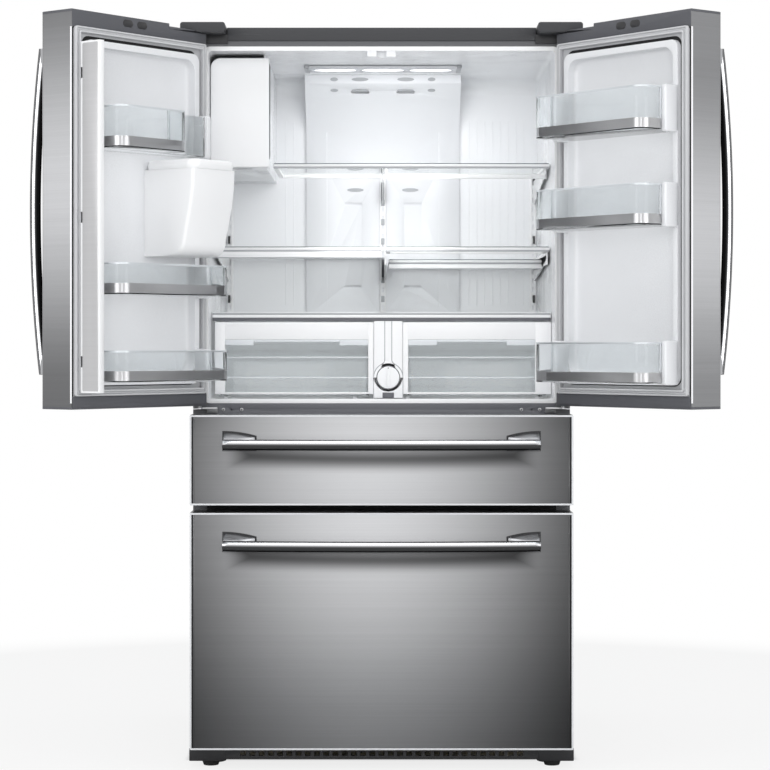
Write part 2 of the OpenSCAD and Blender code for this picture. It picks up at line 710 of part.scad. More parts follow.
module ceiling_light() color([0.98, 0.98, 0.95]) in_case() {
    difference() {
        slab([centre_x - light_w / 2, centre_x + light_w / 2], light_y, [fridge_z1 - 6, fridge_z1 - fit]);
        for (i = [-1:1])
            rod_z(centre_x + i * 112, 345, [fridge_z1 - 7, fridge_z1 - 4], 26);
    }
}

// ---- drawer slides ----

// channel drawn on the right side, open towards the drawer; x is its closed back
module channel(x, w, z, h, t, y)
    translate([0, y[1], 0]) rotate([90, 0, 0]) linear_extrude(y[1] - y[0])
        polygon([[x, z], [x, z + h], [x - w, z + h], [x - w, z + h - t], [x - t, z + h - t],
            [x - t, z + t], [x - w, z + t], [x - w, z]]);

rail_x = inner_x - fit;
middle_x = rail_x - rail_t - rail_gap;
inner_rail_x = middle_x - rail_t - rail_gap;
middle_z = rail_t + rail_gap;
rail_y = [6, rail_l];

module outer_rails() color([0.7, 0.72, 0.74]) in_case() both_sides() {
    channel(rail_x, outer_rail_w, flex_rail_z, rail_h, rail_t, rail_y);
    channel(rail_x, outer_rail_w, freezer_rail_z, rail_h, rail_t, [rail_y[0], freezer_rail_l]);
}

module middle_rails(z, y) both_sides()
    channel(middle_x, middle_rail_w, z + middle_z, rail_h - 2 * middle_z, rail_t, y);

module inner_rails(z, y) both_sides() {
    inner_z = z + 2 * middle_z;
    inner_h = rail_h - 4 * middle_z;
    slab([inner_rail_x - rail_t, inner_rail_x], y, [inner_z, inner_z + inner_h]);
    slab([inner_rail_x - 14, inner_rail_x], y, [inner_z + inner_h / 2 - 1, inner_z + inner_h / 2 + 1]);
    slab([inner_rail_x - 15, inner_rail_x - 12], y, [inner_z, inner_z + inner_h]);
}

module flex_middle_rails() color([0.7, 0.72, 0.74]) in_case() middle_rails(flex_rail_z, rail_y);

module freezer_middle_rails() color([0.7, 0.72, 0.74]) in_case()
    middle_rails(freezer_rail_z, [rail_y[0], freezer_rail_l]);

// steel pan, and the moulded inner panel that shuts it
module drawer_front(z, opening, rail, rail_end) {
    r = 6;
    x = [-door_x - 1, door_x + 1];
    inner = [x[0] + sheet + fit, x[1] - sheet - fit];
    difference() {
        prism_z_round(x, [door_out, door_in], z, edge_r);
        prism_z_round([x[0] + sheet, x[1] - sheet], [door_out + sheet, door_in + cut],
            [z[0] + sheet, z[1] - sheet], edge_r - sheet);
    }
    slab(inner, [door_in - 3, door_in], [z[0] + sheet + fit, z[1] - sheet - fit]);
    // raised plug that enters the opening
    plate_y([24 - inner_x, inner_x - 24], [opening[0] + 10, opening[1] - 10], 10,
        [door_in - 1, door_in + 11]);
    inner_rails(rail, [door_in - 1, rail_end]);
}

module prism_z_round(x, y, z, r)
    translate([0, 0, z[0]]) linear_extrude(z[1] - z[0]) polygon(concat(
        [[x[1], y[1]], [x[0], y[1]]], arc_points(x[0] + r, y[0] + r, r, 180, 270),
        arc_points(x[1] - r, y[0] + r, r, 270, 360)));

// soft ring that seals a front against the case
module gasket(x, z)
    difference() {
        plate_y(x, z, 6, [door_in, door_in + gasket_t]);
        plate_y([x[0] + gasket_w, x[1] - gasket_w], [z[0] + gasket_w, z[1] - gasket_w], 2,
            [door_in - cut, door_in + gasket_t + cut]);
    }

// bowed bar on two tapered posts, along Z, standing off towards -Y
module handle() {
    post_w = 72;
    post_h = 41;
    half = handle_l / 2 - 15;
    bow_r = (half * half + handle_bow * handle_bow) / (2 * handle_bow);
    sweep = asin(half / bow_r);
    centre_reach = handle_reach - handle_r;
    translate([0, bow_r - centre_reach, 0]) rotate([90, 0, -90]) rotate([0, 0, -sweep])
        rotate_extrude(angle = 2 * sweep, $fn = 240) translate([bow_r, 0]) circle(r = handle_r, $fn = 24);
    for (end = [-1, 1]) scale([1, 1, end]) hull() {
        translate([0, -0.1, handle_l / 2 - post_w]) rotate([90, 0, 0])
            linear_extrude(0.1) polygon(round_rect([-post_h / 2, post_h / 2], [0, post_w], 6));
        translate([0, handle_bow - centre_reach, handle_l / 2 - 25])
            linear_extrude(25) circle(r = handle_r + 1, $fn = 24);
    }
}

module flat_handle(z) translate([0, door_out, z]) rotate([0, 90, 0]) handle();

module flex_front() color([0.6, 0.62, 0.64]) in_case()
    drawer_front([flex_z, flex_z + flex_h], [flex_z0, flex_z1], flex_rail_z, rail_l - 6);

module flex_gasket() color([0.4, 0.41, 0.43]) in_case()
    gasket([10 - door_x, door_x - 10], [flex_z + 6, flex_z + flex_h - 6]);

module flex_handle() color([0.75, 0.76, 0.78]) in_case() flat_handle(flex_z + flex_h - flex_handle_drop);

module basket(y, z, rim_z) {
    tub([-basket_x, basket_x], y, z, 20, tub_wall);
    // flanges that hang on the inner slides
    both_sides() slab([basket_x - 1, inner_rail_x - 11], [y[0] + 25, y[1] - 25], [rim_z, rim_z + 3]);
}

inner_top = rail_h - 2 * middle_z + fit;

module flex_basket() color([0.9, 0.92, 0.94]) in_case()
    basket([door_in + 12, rail_l - 10], [flex_z0 + 8, flex_z0 + 130], flex_rail_z + inner_top);

module freezer_front() color([0.6, 0.62, 0.64]) in_case()
    drawer_front([freezer_z, freezer_z + freezer_h], [freezer_z0, freezer_z1], freezer_rail_z,
        freezer_rail_l - 6);

module freezer_gasket() color([0.4, 0.41, 0.43]) in_case()
    gasket([10 - door_x, door_x - 10], [freezer_z0 - gasket_w - 4, freezer_z + freezer_h - 6]);

module freezer_handle() color([0.75, 0.76, 0.78]) in_case()
    flat_handle(freezer_z + freezer_h - freezer_handle_drop);

tray_z = freezer_rail_z + 60;

module freezer_basket() color([0.9, 0.92, 0.94]) in_case() {
    basket([door_in + 12, step_y - 14], [freezer_z0 + 8, freezer_rail_z + 50], freezer_rail_z + inner_top);
    // rim that the tray slides on
    both_sides() slab([basket_x - tub_wall, basket_x + 6], [door_in + 40, step_y - 34],
        [freezer_rail_z + 49, tray_z - fit]);
}

module freezer_tray() color([0.9, 0.92, 0.94]) in_case() {
    tub([-basket_x - 6, basket_x + 6], [door_in + 16, 270], [tray_z, tray_z + 110], 20, tub_wall);
}

// ---- underside ----

module roller(side) in_case() translate([0, rear_y - 50, roller_r]) mirror([side < 0 ? 1 : 0, 0, 0]) {
    rod_x([half_w - 60, half_w - 34], 0, 0, roller_r);
    rod_x([half_w - 66, half_w - 28], 0, 0, axle_r);
}

module left_roller() color([0.2, 0.2, 0.2]) roller(-1);

module right_roller() color([0.2, 0.2, 0.2]) roller(1);

// ---- doors, drawn as the shut left door ----

// plan outline of a door, drawn in from its skin by a distance
function door_plan(inset) = concat(
    [[-free_x - inset, door_in], [inset - door_x, door_in]],
    arc_points(-door_x + edge_r, door_out + edge_r, edge_r - inset, 180, 270),
    arc_points(-free_x - edge_r, door_out + edge_r, edge_r - inset, 270, 360));

module door_skin()
    difference() {
        translate([0, 0, door_z + cap_t]) linear_extrude(door_h - 2 * cap_t) polygon(door_plan(0));
        translate([0, 0, door_z]) linear_extrude(door_h) polygon(door_plan(sheet));
        slab([sheet - door_x, -free_x - sheet], [door_in - 5, door_in + cut], [door_z, door_top]);
    }

module door_caps() {
    x = [sheet + fit - door_x, -free_x - sheet - fit];
    difference() {
        union() {
            translate([0, 0, door_top - cap_t]) linear_extrude(cap_t) polygon(door_plan(0));
            slab(x, [door_in - 3, door_in], [door_top - cap_strip, door_top - cap_t + cut]);
            rod_z(-pin_x, pin_y, [door_top - 28, door_top - cap_t + cut], 10);
        }
        rod_z(-pin_x, pin_y, [door_top - 24, door_top + cut], pin_r + running);
    }
    difference() {
        union() {
            translate([0, 0, door_z]) linear_extrude(cap_t) polygon(door_plan(0));
            slab(x, [door_in - 3, door_in], [door_z + cap_t - cut, door_z + base_strip]);
            rod_z(-pin_x, pin_y, [door_z + cap_t - cut, door_z + 26], 10);
        }
        rod_z(-pin_x, pin_y, [door_z - cut, door_z + 22], pin_r + running);
    }
}

module door_gasket()
    gasket([9 - door_x, -free_x - 5], [door_z + 4, door_top - cap_strip + 2]);

// moulded inner sheet: a flat border, the raised dike, the recess inside it,
// and a wing at each end of each bin
module door_liner(levels) {
    t = liner_t;
    x = [-dike_hinge, -dike_free];
    z = [dike_z0, dike_z1];
    difference() {
        union() {
            slab([sheet + fit - door_x, -free_x - sheet - fit], [door_in - 3, door_in],
                [door_z + base_strip + fit, door_top - cap_strip - fit]);
            plate_y(x, z, 20, [door_in - recess - t, door_in + dike_h]);
        }
        plate_y([x[0] + dike_w, x[1] - dike_w], [z[0] + dike_w, z[1] - dike_w], 12,
            [door_in - recess, door_in + dike_h + cut]);
        // the dike is hollow from behind
        difference() {
            plate_y([x[0] + t, x[1] - t], [z[0] + t, z[1] - t], 18,
                [door_in - recess - t - cut, door_in + dike_h - t]);
            plate_y([x[0] + dike_w - t, x[1] - dike_w + t], [z[0] + dike_w - t, z[1] - dike_w + t], 14,
                [door_in - recess - t - 2 * cut, door_in + dike_h]);
        }
    }
    for (level = levels, side = [0, 1])
        slab(side == 0 ? [x[0], x[0] + dike_w] : [x[1] - dike_w, x[1]],
            [door_in + dike_h - 1, door_in + wing_h],
            [door_z + level[0] - wing_more, door_z + level[0] + level[1] + wing_more]);
}

module door_handle()
    translate([-free_x - handle_inset, door_out, door_z + door_h / 2]) handle();

// plan of a full-depth bin: between the dikes at the rear, over them at the front
function bin_plan(inset, x_step, y_step) = concat(
    [[bin_x1 - inset, bin_y0 + inset], [bin_x1 - inset, over_wing + inset],
     [bin_x1 + 4 - inset, over_wing + inset]],
    arc_points(bin_x1 + 4 - 24, bin_y1 - 24, 24 - inset, 0, 90, 4),
    arc_points(x_step + 24, bin_y1 - 24, 24 - inset, 90, 180, 4),
    [[x_step + inset, y_step + inset]],
    x_step > bin_x0 ? [] : [[bin_x0 + inset, y_step + inset]],
    x_step > bin_x0 ? [[bin_x0 + inset, y_step - inset], [bin_x0 + inset, bin_y0 + inset]]
        : [[bin_x0 + inset, bin_y0 + inset]]);

module bin(level, x_step, y_step)
    difference() {
        translate([0, 0, door_z + level[0]]) linear_extrude(level[1])
            polygon(bin_plan(0, x_step, y_step));
        translate([0, 0, door_z + level[0] + bin_wall]) linear_extrude(level[1])
            polygon(bin_plan(bin_wall, x_step, y_step));
    }

full_step = [-inner_x + 6, over_wing];
ice_step = [ice_x1 + 7, ice_y - 31];

module left_skin() color([0.6, 0.62, 0.64]) on_left_door()
    difference() {
        door_skin();
        slab([dispenser_x - dispenser_w / 2 - 4, dispenser_x + dispenser_w / 2 + 4],
            [door_out - cut, door_out + 20], [dispenser_z0 - 4, dispenser_z1 + 94]);
    }

module left_caps() color([0.25, 0.26, 0.28]) on_left_door() door_caps();

module left_gasket() color([0.4, 0.41, 0.43]) on_left_door() door_gasket();

// the left door's inner sheet also carries the pins that the mullion folds on
module left_liner() color([0.94, 0.95, 0.96]) on_left_door() {
    door_liner(left_bin_levels);
    for (z = lug_z) {
        slab([-dike_free - dike_w, -dike_free], [door_in + dike_h - 1, fold_y + 4.5],
            [z - lug_h / 2, z + lug_h / 2]);
        slab([-dike_free - 1, fold_x], [fold_y - 4.5, fold_y + 4.5], [z - lug_h / 2, z + lug_h / 2]);
        rod_z(fold_x, fold_y, [z - lug_h / 2, z + lug_h / 2], 6);
        rod_z(fold_x, fold_y, [z - lug_h / 2 - 10, z + lug_h / 2 + 10], mullion_pin_r);
    }
}

module left_handle() color([0.75, 0.76, 0.78]) on_left_door() door_handle();

module left_bins() color([0.88, 0.92, 0.95]) on_left_door()
    for (i = [0:2])
        if (i < 2) bin(left_bin_levels[i], full_step[0], full_step[1]);
        else bin(left_bin_levels[i], ice_step[0], ice_step[1]);

// housing that leads the ice from the compartment above down through the door
module ice_chute() color([0.95, 0.96, 0.97]) on_left_door() {
    x = [bin_x0, bin_x0 + 148];
    y0 = bin_y0;
    z = [door_z + 352, ice_z0 - 4];
    reach = door_in + chute_reach;
    curve_r = 34;
    curve_y = reach - 34 - curve_r;
    difference() {
        union() {
            prism_x(x, concat([[y0, z[0]]],
                arc_points(curve_y, z[0] + curve_r, curve_r, -90, 0, 5),
                [[reach - 12, z[1] - 80], [reach - 6, z[1] - 50], [reach - 6, z[1] - 22], [y0, z[1] - 22]]));
            plate_xy([x[0] - 0, x[1] + 4], [y0, reach], 14, [z[1] - 24, z[1]]);
        }
        rod_z(x[0] + 70, door_in + 88, [z[1] - 90, z[1] + cut], 36);
    }
}

module dispenser() color([0.12, 0.12, 0.13]) on_left_door() {
    x = [dispenser_x - dispenser_w / 2, dispenser_x + dispenser_w / 2];
    y = [door_out, door_out + dispenser_d];
    difference() {
        union() {
            plate_y([x[0] - 10, x[1] + 10], [dispenser_z0 - 10, dispenser_z1 + 100], 8,
                [door_out - 2, door_out]);
            slab([x[0] - 3, x[1] + 3], [door_out - 1, y[1] + 3], [dispenser_z0 - 3, dispenser_z1 + 3]);
            slab([x[0] - 3, x[1] + 3], [door_out - 1, door_out + 14], [dispenser_z1, dispenser_z1 + 93]);
        }
        slab(x, [door_out - 3, y[1]], [dispenser_z0, dispenser_z1]);
    }
    // spout and the ears that carry the lever
    slab([dispenser_x - 22, dispenser_x + 22], [door_out + 16, door_out + 46],
        [dispenser_z1 - 26, dispenser_z1 + 1]);
    for (side = [-1, 1]) difference() {
        slab([dispenser_x + side * 34 - 3, dispenser_x + side * 34 + 3], [lever_y - 7, lever_y + 7],
            [lever_z - 7, dispenser_z1 + 1]);
        rod_x([dispenser_x + side * 34 - 4, dispenser_x + side * 34 + 4], lever_y, lever_z,
            3 + running);
    }
    // drip tray
    difference() {
        slab([x[0] + 8, x[1] - 8], [door_out + 6, y[1] - 6], [dispenser_z0 + fit, dispenser_z0 + 9]);
        for (i = [-7:7])
            slab([dispenser_x + i * 11 - 3.5, dispenser_x + i * 11 + 3.5], [door_out + 12, y[1] - 12],
                [dispenser_z0 + 3, dispenser_z0 + 10]);
    }
}

module dispenser_lever() color([0.3, 0.3, 0.32]) on_left_door() {
    rod_x([dispenser_x - 38, dispenser_x + 38], lever_y, lever_z, 3);
    slab([dispenser_x - 22, dispenser_x + 22], [lever_y - 2, lever_y + 2], [lever_z - 105, lever_z]);
}

// bar that folds out behind the seals when the doors shut
module mullion() color([0.9, 0.91, 0.92]) on_left_door()
    difference() {
        translate([0, 0, mullion_z0]) linear_extrude(mullion_z1 - mullion_z0) polygon(concat(
            arc_points(fold_x, fold_y, mullion_t / 2, 180, 360, 12),
            [[fold_x + mullion_t / 2, mullion_w], [fold_x - mullion_t / 2 + 5, mullion_w],
             [fold_x - mullion_t / 2, mullion_w - 5]]));
        for (z = lug_z) {
            slab([fold_x - mullion_t, fold_x + mullion_t], [fold_y - mullion_t, fold_y + 9],
                [z - lug_h / 2 - 0.5, z + lug_h / 2 + 0.5]);
            rod_z(fold_x, fold_y, [z - lug_h / 2 - 11, z + lug_h / 2 + 11], mullion_pin_r + running);
        }
    }

module right_skin() color([0.6, 0.62, 0.64]) on_right_door() door_skin();

module right_caps() color([0.25, 0.26, 0.28]) on_right_door() door_caps();

module right_gasket() color([0.4, 0.41, 0.43]) on_right_door() door_gasket();

module right_liner() color([0.94, 0.95, 0.96]) on_right_door() door_liner(right_bin_levels);

module right_handle() color([0.75, 0.76, 0.78]) on_right_door() door_handle();

module right_bins() color([0.88, 0.92, 0.95]) on_right_door()
    for (level = right_bin_levels) bin(level, full_step[0], full_step[1]);

case_shell();
rear_panels();
insulation();
fridge_liner();
flex_liner();
freezer_liner();
cross_rails();
top_covers();
upper_hinges();
lower_hinges();
base_frame();
toe_grille();
front_feet();
sealed_system();
water_valve();
duct_cover();
shelf_tracks();
top_shelf();
left_shelf();
right_shelf();
crisper_cover();
filter_housing();
ice_housing();
ceiling_light();
outer_rails();
half_shelf();
filter_knob();
left_crisper();
right_crisper();
ice_bucket();
ice_auger();
left_roller();
right_roller();
left_skin();
left_liner();
left_caps();
left_gasket();
left_handle();
left_bins();
ice_chute();
dispenser();
dispenser_lever();
mullion();
right_skin();
right_liner();
right_caps();
right_gasket();
right_handle();
right_bins();
flex_front();
flex_gasket();
flex_handle();
flex_basket();
flex_middle_rails();
freezer_front();
freezer_gasket();
freezer_handle();
freezer_basket();
freezer_middle_rails();
freezer_tray();
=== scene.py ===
import json
import math

import bmesh
import bpy
from mathutils import Matrix, Vector
from mathutils.bvhtree import BVHTree


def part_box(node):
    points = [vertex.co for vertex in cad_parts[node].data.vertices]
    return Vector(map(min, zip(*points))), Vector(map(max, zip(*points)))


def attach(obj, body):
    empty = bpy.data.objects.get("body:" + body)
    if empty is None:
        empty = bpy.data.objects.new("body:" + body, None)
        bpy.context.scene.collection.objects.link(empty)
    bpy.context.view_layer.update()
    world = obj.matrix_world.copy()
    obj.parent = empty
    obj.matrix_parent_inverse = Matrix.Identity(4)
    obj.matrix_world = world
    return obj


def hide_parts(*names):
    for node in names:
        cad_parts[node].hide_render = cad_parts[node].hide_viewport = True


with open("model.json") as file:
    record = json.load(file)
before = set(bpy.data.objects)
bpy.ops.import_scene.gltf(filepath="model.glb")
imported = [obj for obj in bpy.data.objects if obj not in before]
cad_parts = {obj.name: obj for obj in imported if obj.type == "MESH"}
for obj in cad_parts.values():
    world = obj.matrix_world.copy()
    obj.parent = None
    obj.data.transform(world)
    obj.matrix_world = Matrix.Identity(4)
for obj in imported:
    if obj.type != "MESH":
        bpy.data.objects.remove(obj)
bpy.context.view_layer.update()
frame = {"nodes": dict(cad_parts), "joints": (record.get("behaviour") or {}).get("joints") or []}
scene = bpy.context.scene
scene.view_settings.view_transform = "Standard"


def addNode(tree, kind, feeds, **settings):
    # a node with its settings, fed by the order or by the titles of its inputs
    node = tree.nodes.new("ShaderNode" + kind)
    for title, value in settings.items():
        setattr(node, title, value)
    for title, value in feeds.items() if isinstance(feeds, dict) else enumerate(feeds):
        if isinstance(value, bpy.types.NodeSocket):
            tree.links.new(value, node.inputs[title])
        else:
            node.inputs[title].default_value = value
    return node.outputs


def mathNode(tree, operation, first, second=0.0):
    return addNode(tree, "Math", (first, second), operation=operation)[0]


def vectorNode(tree, operation, *values):
    return addNode(tree, "VectorMath", values, operation=operation)[0]


def rangeNode(tree, value, limits, kind="SMOOTHSTEP"):
    return addNode(tree, "MapRange", {"Value": value, **limits}, interpolation_type=kind)["Result"]


def spotNode(tree, title="Object"):
    return tree.nodes.new("ShaderNodeTexCoord").outputs[title]


def noiseNode(tree, vector, scale, detail, roughness=0.5):
    feeds = {"Vector": vector, "Scale": scale, "Detail": detail, "Roughness": roughness}
    return addNode(tree, "TexNoise", feeds)[0]


def shaded(tree, colour, value):
    return addNode(tree, "VectorMath", {0: colour, "Scale": value}, operation="SCALE")[0]


# where the eye stands, and how the studio is lit
viewpoint = {"place": (0, -5.898, 1.007), "lens": 111.04, "shiftX": 0.0045, "shiftY": -0.0521}

studio = {
    "ambient": 0.46,     # what soft light from all round adds
    "ambientTone": (0.97, 0.985, 1, 1),
    "frontSize": 3.0, "frontPower": 72, "frontPlace": (0, -4.6, 2.2),
    "leftSize": 1.8, "leftPower": 26, "leftPlace": (-3.2, -3.0, 2.0),
    "rightSize": 1.8, "rightPower": 22, "rightPlace": (3.2, -3.0, 1.6),
    "topSize": 3.0, "topPower": 40, "topPlace": (0, -0.6, 4.2),
    "insideSize": 0.36, "insidePower": 1.25, "insidePlace": (0.06, 0.06, 1.66), "insideTarget": (0.03, 0.30, 1.1),
    "lowerSize": 0.30, "lowerPower": 0.9, "lowerPlace": (0.0, 0.0, 1.38), "lowerTarget": (0.0, 0.40, 1.15),
    "floorTone": 0.9, "floorPlain": 0.82, "floorShade": (0.45, 0.11, 9), "floorRamp": 0.03,
    "floorReach": 9.0, "floorFade": (1.1, 2.6), "floorDrop": 0.0005,
}


def addCamera():
    camera = bpy.data.objects.new("camera", bpy.data.cameras.new("camera"))
    camera.data.lens = viewpoint["lens"]
    camera.data.shift_x = viewpoint["shiftX"]
    camera.data.shift_y = viewpoint["shiftY"]
    camera.location = viewpoint["place"]
    camera.rotation_euler = (math.pi / 2, 0, 0)
    scene.collection.objects.link(camera)
    scene.camera = camera


def addLamp(name):
    lamp = bpy.data.objects.new(name, bpy.data.lights.new(name, "AREA"))
    lamp.data.shape = "SQUARE"
    lamp.data.size = studio[name + "Size"]
    lamp.data.energy = studio[name + "Power"]
    lamp.location = studio[name + "Place"]
    target = Vector(studio.get(name + "Target", (0, 0, 0.9)))
    lamp.rotation_euler = (target - lamp.location).to_track_quat("-Z", "Y").to_euler()
    lamp.visible_glossy = name != "front"       # the big front lamp would show as a blot in the steel
    scene.collection.objects.link(lamp)


def addWorld():
    # white to the eye, in reflections and through glass, and a soft light for all else
    world = bpy.data.worlds.new("studio")
    world.use_nodes = True
    scene.world = world
    tree = world.node_tree
    tree.nodes.clear()
    rays = tree.nodes.new("ShaderNodeLightPath").outputs
    seen = mathNode(tree, "MAXIMUM", rays["Is Camera Ray"], rays["Is Glossy Ray"])
    seen = mathNode(tree, "MAXIMUM", seen, rays["Is Transmission Ray"])
    soft = addNode(tree, "Background", {"Color": studio["ambientTone"], "Strength": studio["ambient"]})[0]
    white = addNode(tree, "Background", {"Color": (1, 1, 1, 1)})[0]
    addNode(tree, "OutputWorld", {"Surface": addNode(tree, "MixShader", (seen, soft, white))[0]})


def floorMaterial():
    # matt near the object, white like the backdrop far off, and nearly white to the eye all round
    material = bpy.data.materials.new("paleFloor")
    material.use_nodes = True
    tree = material.node_tree
    tree.nodes.clear()
    spot = spotNode(tree)
    distance = addNode(tree, "VectorMath", (spot,), operation="LENGTH")["Value"]
    fade = rangeNode(tree, distance, dict(zip(("From Min", "From Max"), studio["floorFade"])))
    past = vectorNode(tree, "SUBTRACT", vectorNode(tree, "ABSOLUTE", spot), studio["floorShade"])
    axes = addNode(tree, "SeparateXYZ", (past,))
    outside = mathNode(tree, "MAXIMUM", axes["X"], axes["Y"])
    bare = rangeNode(tree, outside, {"From Max": studio["floorRamp"], "To Max": studio["floorPlain"]}, "LINEAR")
    plain = mathNode(tree, "MULTIPLY", tree.nodes.new("ShaderNodeLightPath").outputs["Is Camera Ray"], bare)
    matt = addNode(tree, "BsdfDiffuse", {"Color": (*[studio["floorTone"]] * 3, 1)})[0]
    white = tree.nodes.new("ShaderNodeEmission").outputs[0]
    mix = addNode(tree, "MixShader", (mathNode(tree, "MAXIMUM", plain, fade), matt, white))[0]
    addNode(tree, "OutputMaterial", {"Surface": mix})
    return material


def addFloor():
    sheet = bmesh.new()
    bmesh.ops.create_grid(sheet, x_segments=2, y_segments=2, size=studio["floorReach"])
    bmesh.ops.translate(sheet, vec=(0, 0, -studio["floorDrop"]), verts=sheet.verts)
    mesh = bpy.data.meshes.new("floor")
    sheet.to_mesh(mesh)
    floor = bpy.data.objects.new("floor", mesh)
    scene.collection.objects.link(floor)
    mesh.materials.append(floorMaterial())


addCamera()
addWorld()
for lamp in ("front", "left", "right", "top", "inside", "lower"):
    addLamp(lamp)
addFloor()
print("camera, lamps and floor done")

# what the two surface groups take in and give out
commonIn = [("Contrast", "Float", 0.2), ("Rough", "Float", 0.4), ("Rough spread", "Float", 0.1),
    ("Bump", "Float", 0.1)]
commonOut = [("Colour", "Color"), ("Roughness", "Float"), ("Normal", "Vector")]
bumpDepth = 0.0004


def newGroup(name, inputs, outputs=commonOut[:1]):
    group = bpy.data.node_groups.new(name, "ShaderNodeTree")
    for title, kind, value in [("Colour", "Color", (0.6, 0.6, 0.6, 1)), *inputs]:
        socket = group.interface.new_socket(name=title, in_out="INPUT", socket_type="NodeSocket" + kind)
        socket.default_value = value
    for title, kind in outputs:
        group.interface.new_socket(name=title, in_out="OUTPUT", socket_type="NodeSocket" + kind)
    start = group.nodes.new("NodeGroupInput")
    end = group.nodes.new("NodeGroupOutput")
    return group, start.outputs, end.inputs


def surfaceOutputs(group, start, ends, fine, broad, share):
    # a fine and a broad noise, mixed into one grain that moves tone, roughness and normal
    fine, broad = mathNode(group, "MULTIPLY", fine, share), mathNode(group, "MULTIPLY", broad, 1 - share)
    grain = mathNode(group, "ADD", fine, broad)
    swing = mathNode(group, "SUBTRACT", grain, 0.5)
    tone = mathNode(group, "ADD", mathNode(group, "MULTIPLY", swing, start["Contrast"]), 1)
    rough = mathNode(group, "ADD", mathNode(group, "MULTIPLY", swing, start["Rough spread"]), start["Rough"])
    bump = addNode(group, "Bump", {"Distance": bumpDepth, "Strength": start["Bump"], "Height": grain})
    for title, value in (("Colour", shaded(group, start["Colour"], tone)), ("Roughness", rough), ("Normal", bump[0])):
        group.links.new(value, ends[title])


def brushLinesGroup():
    # fine scratches, long in the directions where Stretch is small
    group, start, ends = newGroup("brushLines", [("Stretch", "Vector", (3, 3, 900)), *commonIn], commonOut)
    spot = vectorNode(group, "MULTIPLY", spotNode(group), start["Stretch"])
    surfaceOutputs(group, start, ends, noiseNode(group, spot, 1, 4, 0.7), noiseNode(group, spot, 0.13, 2), 0.65)
    return group


def mouldSkinGroup():
    # faint clouds and a fine grain, as on a moulded or painted skin
    group, start, ends = newGroup("mouldSkin", [("Grain scale", "Float", 700), *commonIn], commonOut)
    spot = spotNode(group)
    fine = noiseNode(group, spot, start["Grain scale"], 3, 0.6)
    surfaceOutputs(group, start, ends, fine, noiseNode(group, spot, 4, 2), 0.55)
    return group


def lightFallGroup():
    # painted light and shade: a broad fall of tone along each axis, from Centre out to Reach, where it gets down to
    # Edge
    full = (1, 1, 1)
    group, start, ends = newGroup("lightFall", [("Centre", "Vector", (0, 0, 0)), ("Reach", "Vector", full),
        ("Edge", "Vector", full)])
    away = vectorNode(group, "ABSOLUTE", vectorNode(group, "SUBTRACT", spotNode(group), start["Centre"]))
    fall = group.nodes.new("ShaderNodeMapRange")
    fall.data_type = "FLOAT_VECTOR"
    fall.interpolation_type = "SMOOTHSTEP"
    ports = {socket.identifier: socket for socket in fall.inputs}
    ports["To_Min_FLOAT3"].default_value = full
    group.links.new(start["Edge"], ports["To_Max_FLOAT3"])
    group.links.new(vectorNode(group, "DIVIDE", away, start["Reach"]), ports["Vector"])
    axes = addNode(group, "SeparateXYZ", (fall.outputs["Vector"],))
    share = mathNode(group, "MULTIPLY", axes["X"], mathNode(group, "MULTIPLY", axes["Y"], axes["Z"]))
    group.links.new(shaded(group, start["Colour"], share), ends["Colour"])
    return group


def turnLightGroup(name, stops):
    # painted highlight and shade: the tone of a round bar from the side turned away from Direction (-1) to the side
    # that faces it (1)
    group, start, ends = newGroup(name, [("Direction", "Vector", (0, 0, 1))])
    facing = addNode(group, "VectorMath", (spotNode(group, "Normal"), start["Direction"]), operation="DOT_PRODUCT")
    ramp = group.nodes.new("ShaderNodeValToRGB")
    ramp.color_ramp.interpolation = "EASE"
    while len(ramp.color_ramp.elements) < len(stops):
        ramp.color_ramp.elements.new(1)
    for element, (turn, tone) in zip(ramp.color_ramp.elements, stops):
        element.position = (turn + 1) / 2
        element.color = (tone, tone, tone, 1)
    share = mathNode(group, "MULTIPLY", mathNode(group, "ADD", facing["Value"], 1), 0.5)
    group.links.new(share, ramp.inputs[0])
    group.links.new(shaded(group, start["Colour"], ramp.outputs["Color"]), ends["Colour"])
    return group


def barShadeGroup():
    # the soft shade that a bowed level bar casts on the front under it, lowest at the middle of the bar
    sizes = (("Bar height", 0.7), ("Half length", 0.375), ("End drop", 0.024), ("Bow drop", 0.011), ("Width", 0.038),
        ("Tone", 0.2))
    group, start, ends = newGroup("barShade", [(title, "Float", value) for title, value in sizes])
    axes = addNode(group, "SeparateXYZ", (spotNode(group),))
    reach = mathNode(group, "DIVIDE", axes["X"], start["Half length"])
    arch = mathNode(group, "SUBTRACT", 1, mathNode(group, "MULTIPLY", reach, reach))
    drop = mathNode(group, "ADD", start["End drop"], mathNode(group, "MULTIPLY", arch, start["Bow drop"]))
    below = mathNode(group, "SUBTRACT", mathNode(group, "SUBTRACT", start["Bar height"], drop), axes["Z"])
    away = mathNode(group, "DIVIDE", mathNode(group, "ABSOLUTE", below), start["Width"])
    near = mathNode(group, "MINIMUM", mathNode(group, "SUBTRACT", 1, away), mathNode(group, "MULTIPLY", arch, 3))
    shade = rangeNode(group, near, {"To Min": 1, "To Max": start["Tone"]})
    group.links.new(shaded(group, start["Colour"], shade), ends["Colour"])
    return group


brushLines = brushLinesGroup()
mouldSkin = mouldSkinGroup()
lightFall = lightFallGroup()
barShade = barShadeGroup()
# painted highlight bands and painted shade on the undersides of the level and the upright handle bars
levelLitShade = turnLightGroup("levelLitShade",
    ((-1, 0.03), (-0.55, 0.10), (-0.05, 0.09), (0.2, 0.5), (0.4, 1.5), (0.7, 1.5), (0.95, 0.25)))
uprightLitShade = turnLightGroup("uprightLitShade",
    ((-1, 0.01), (-0.1, 0.05), (0.1, 1.5), (0.4, 1.5), (0.55, 0.2), (0.8, 0.4), (0.95, 0.02)))


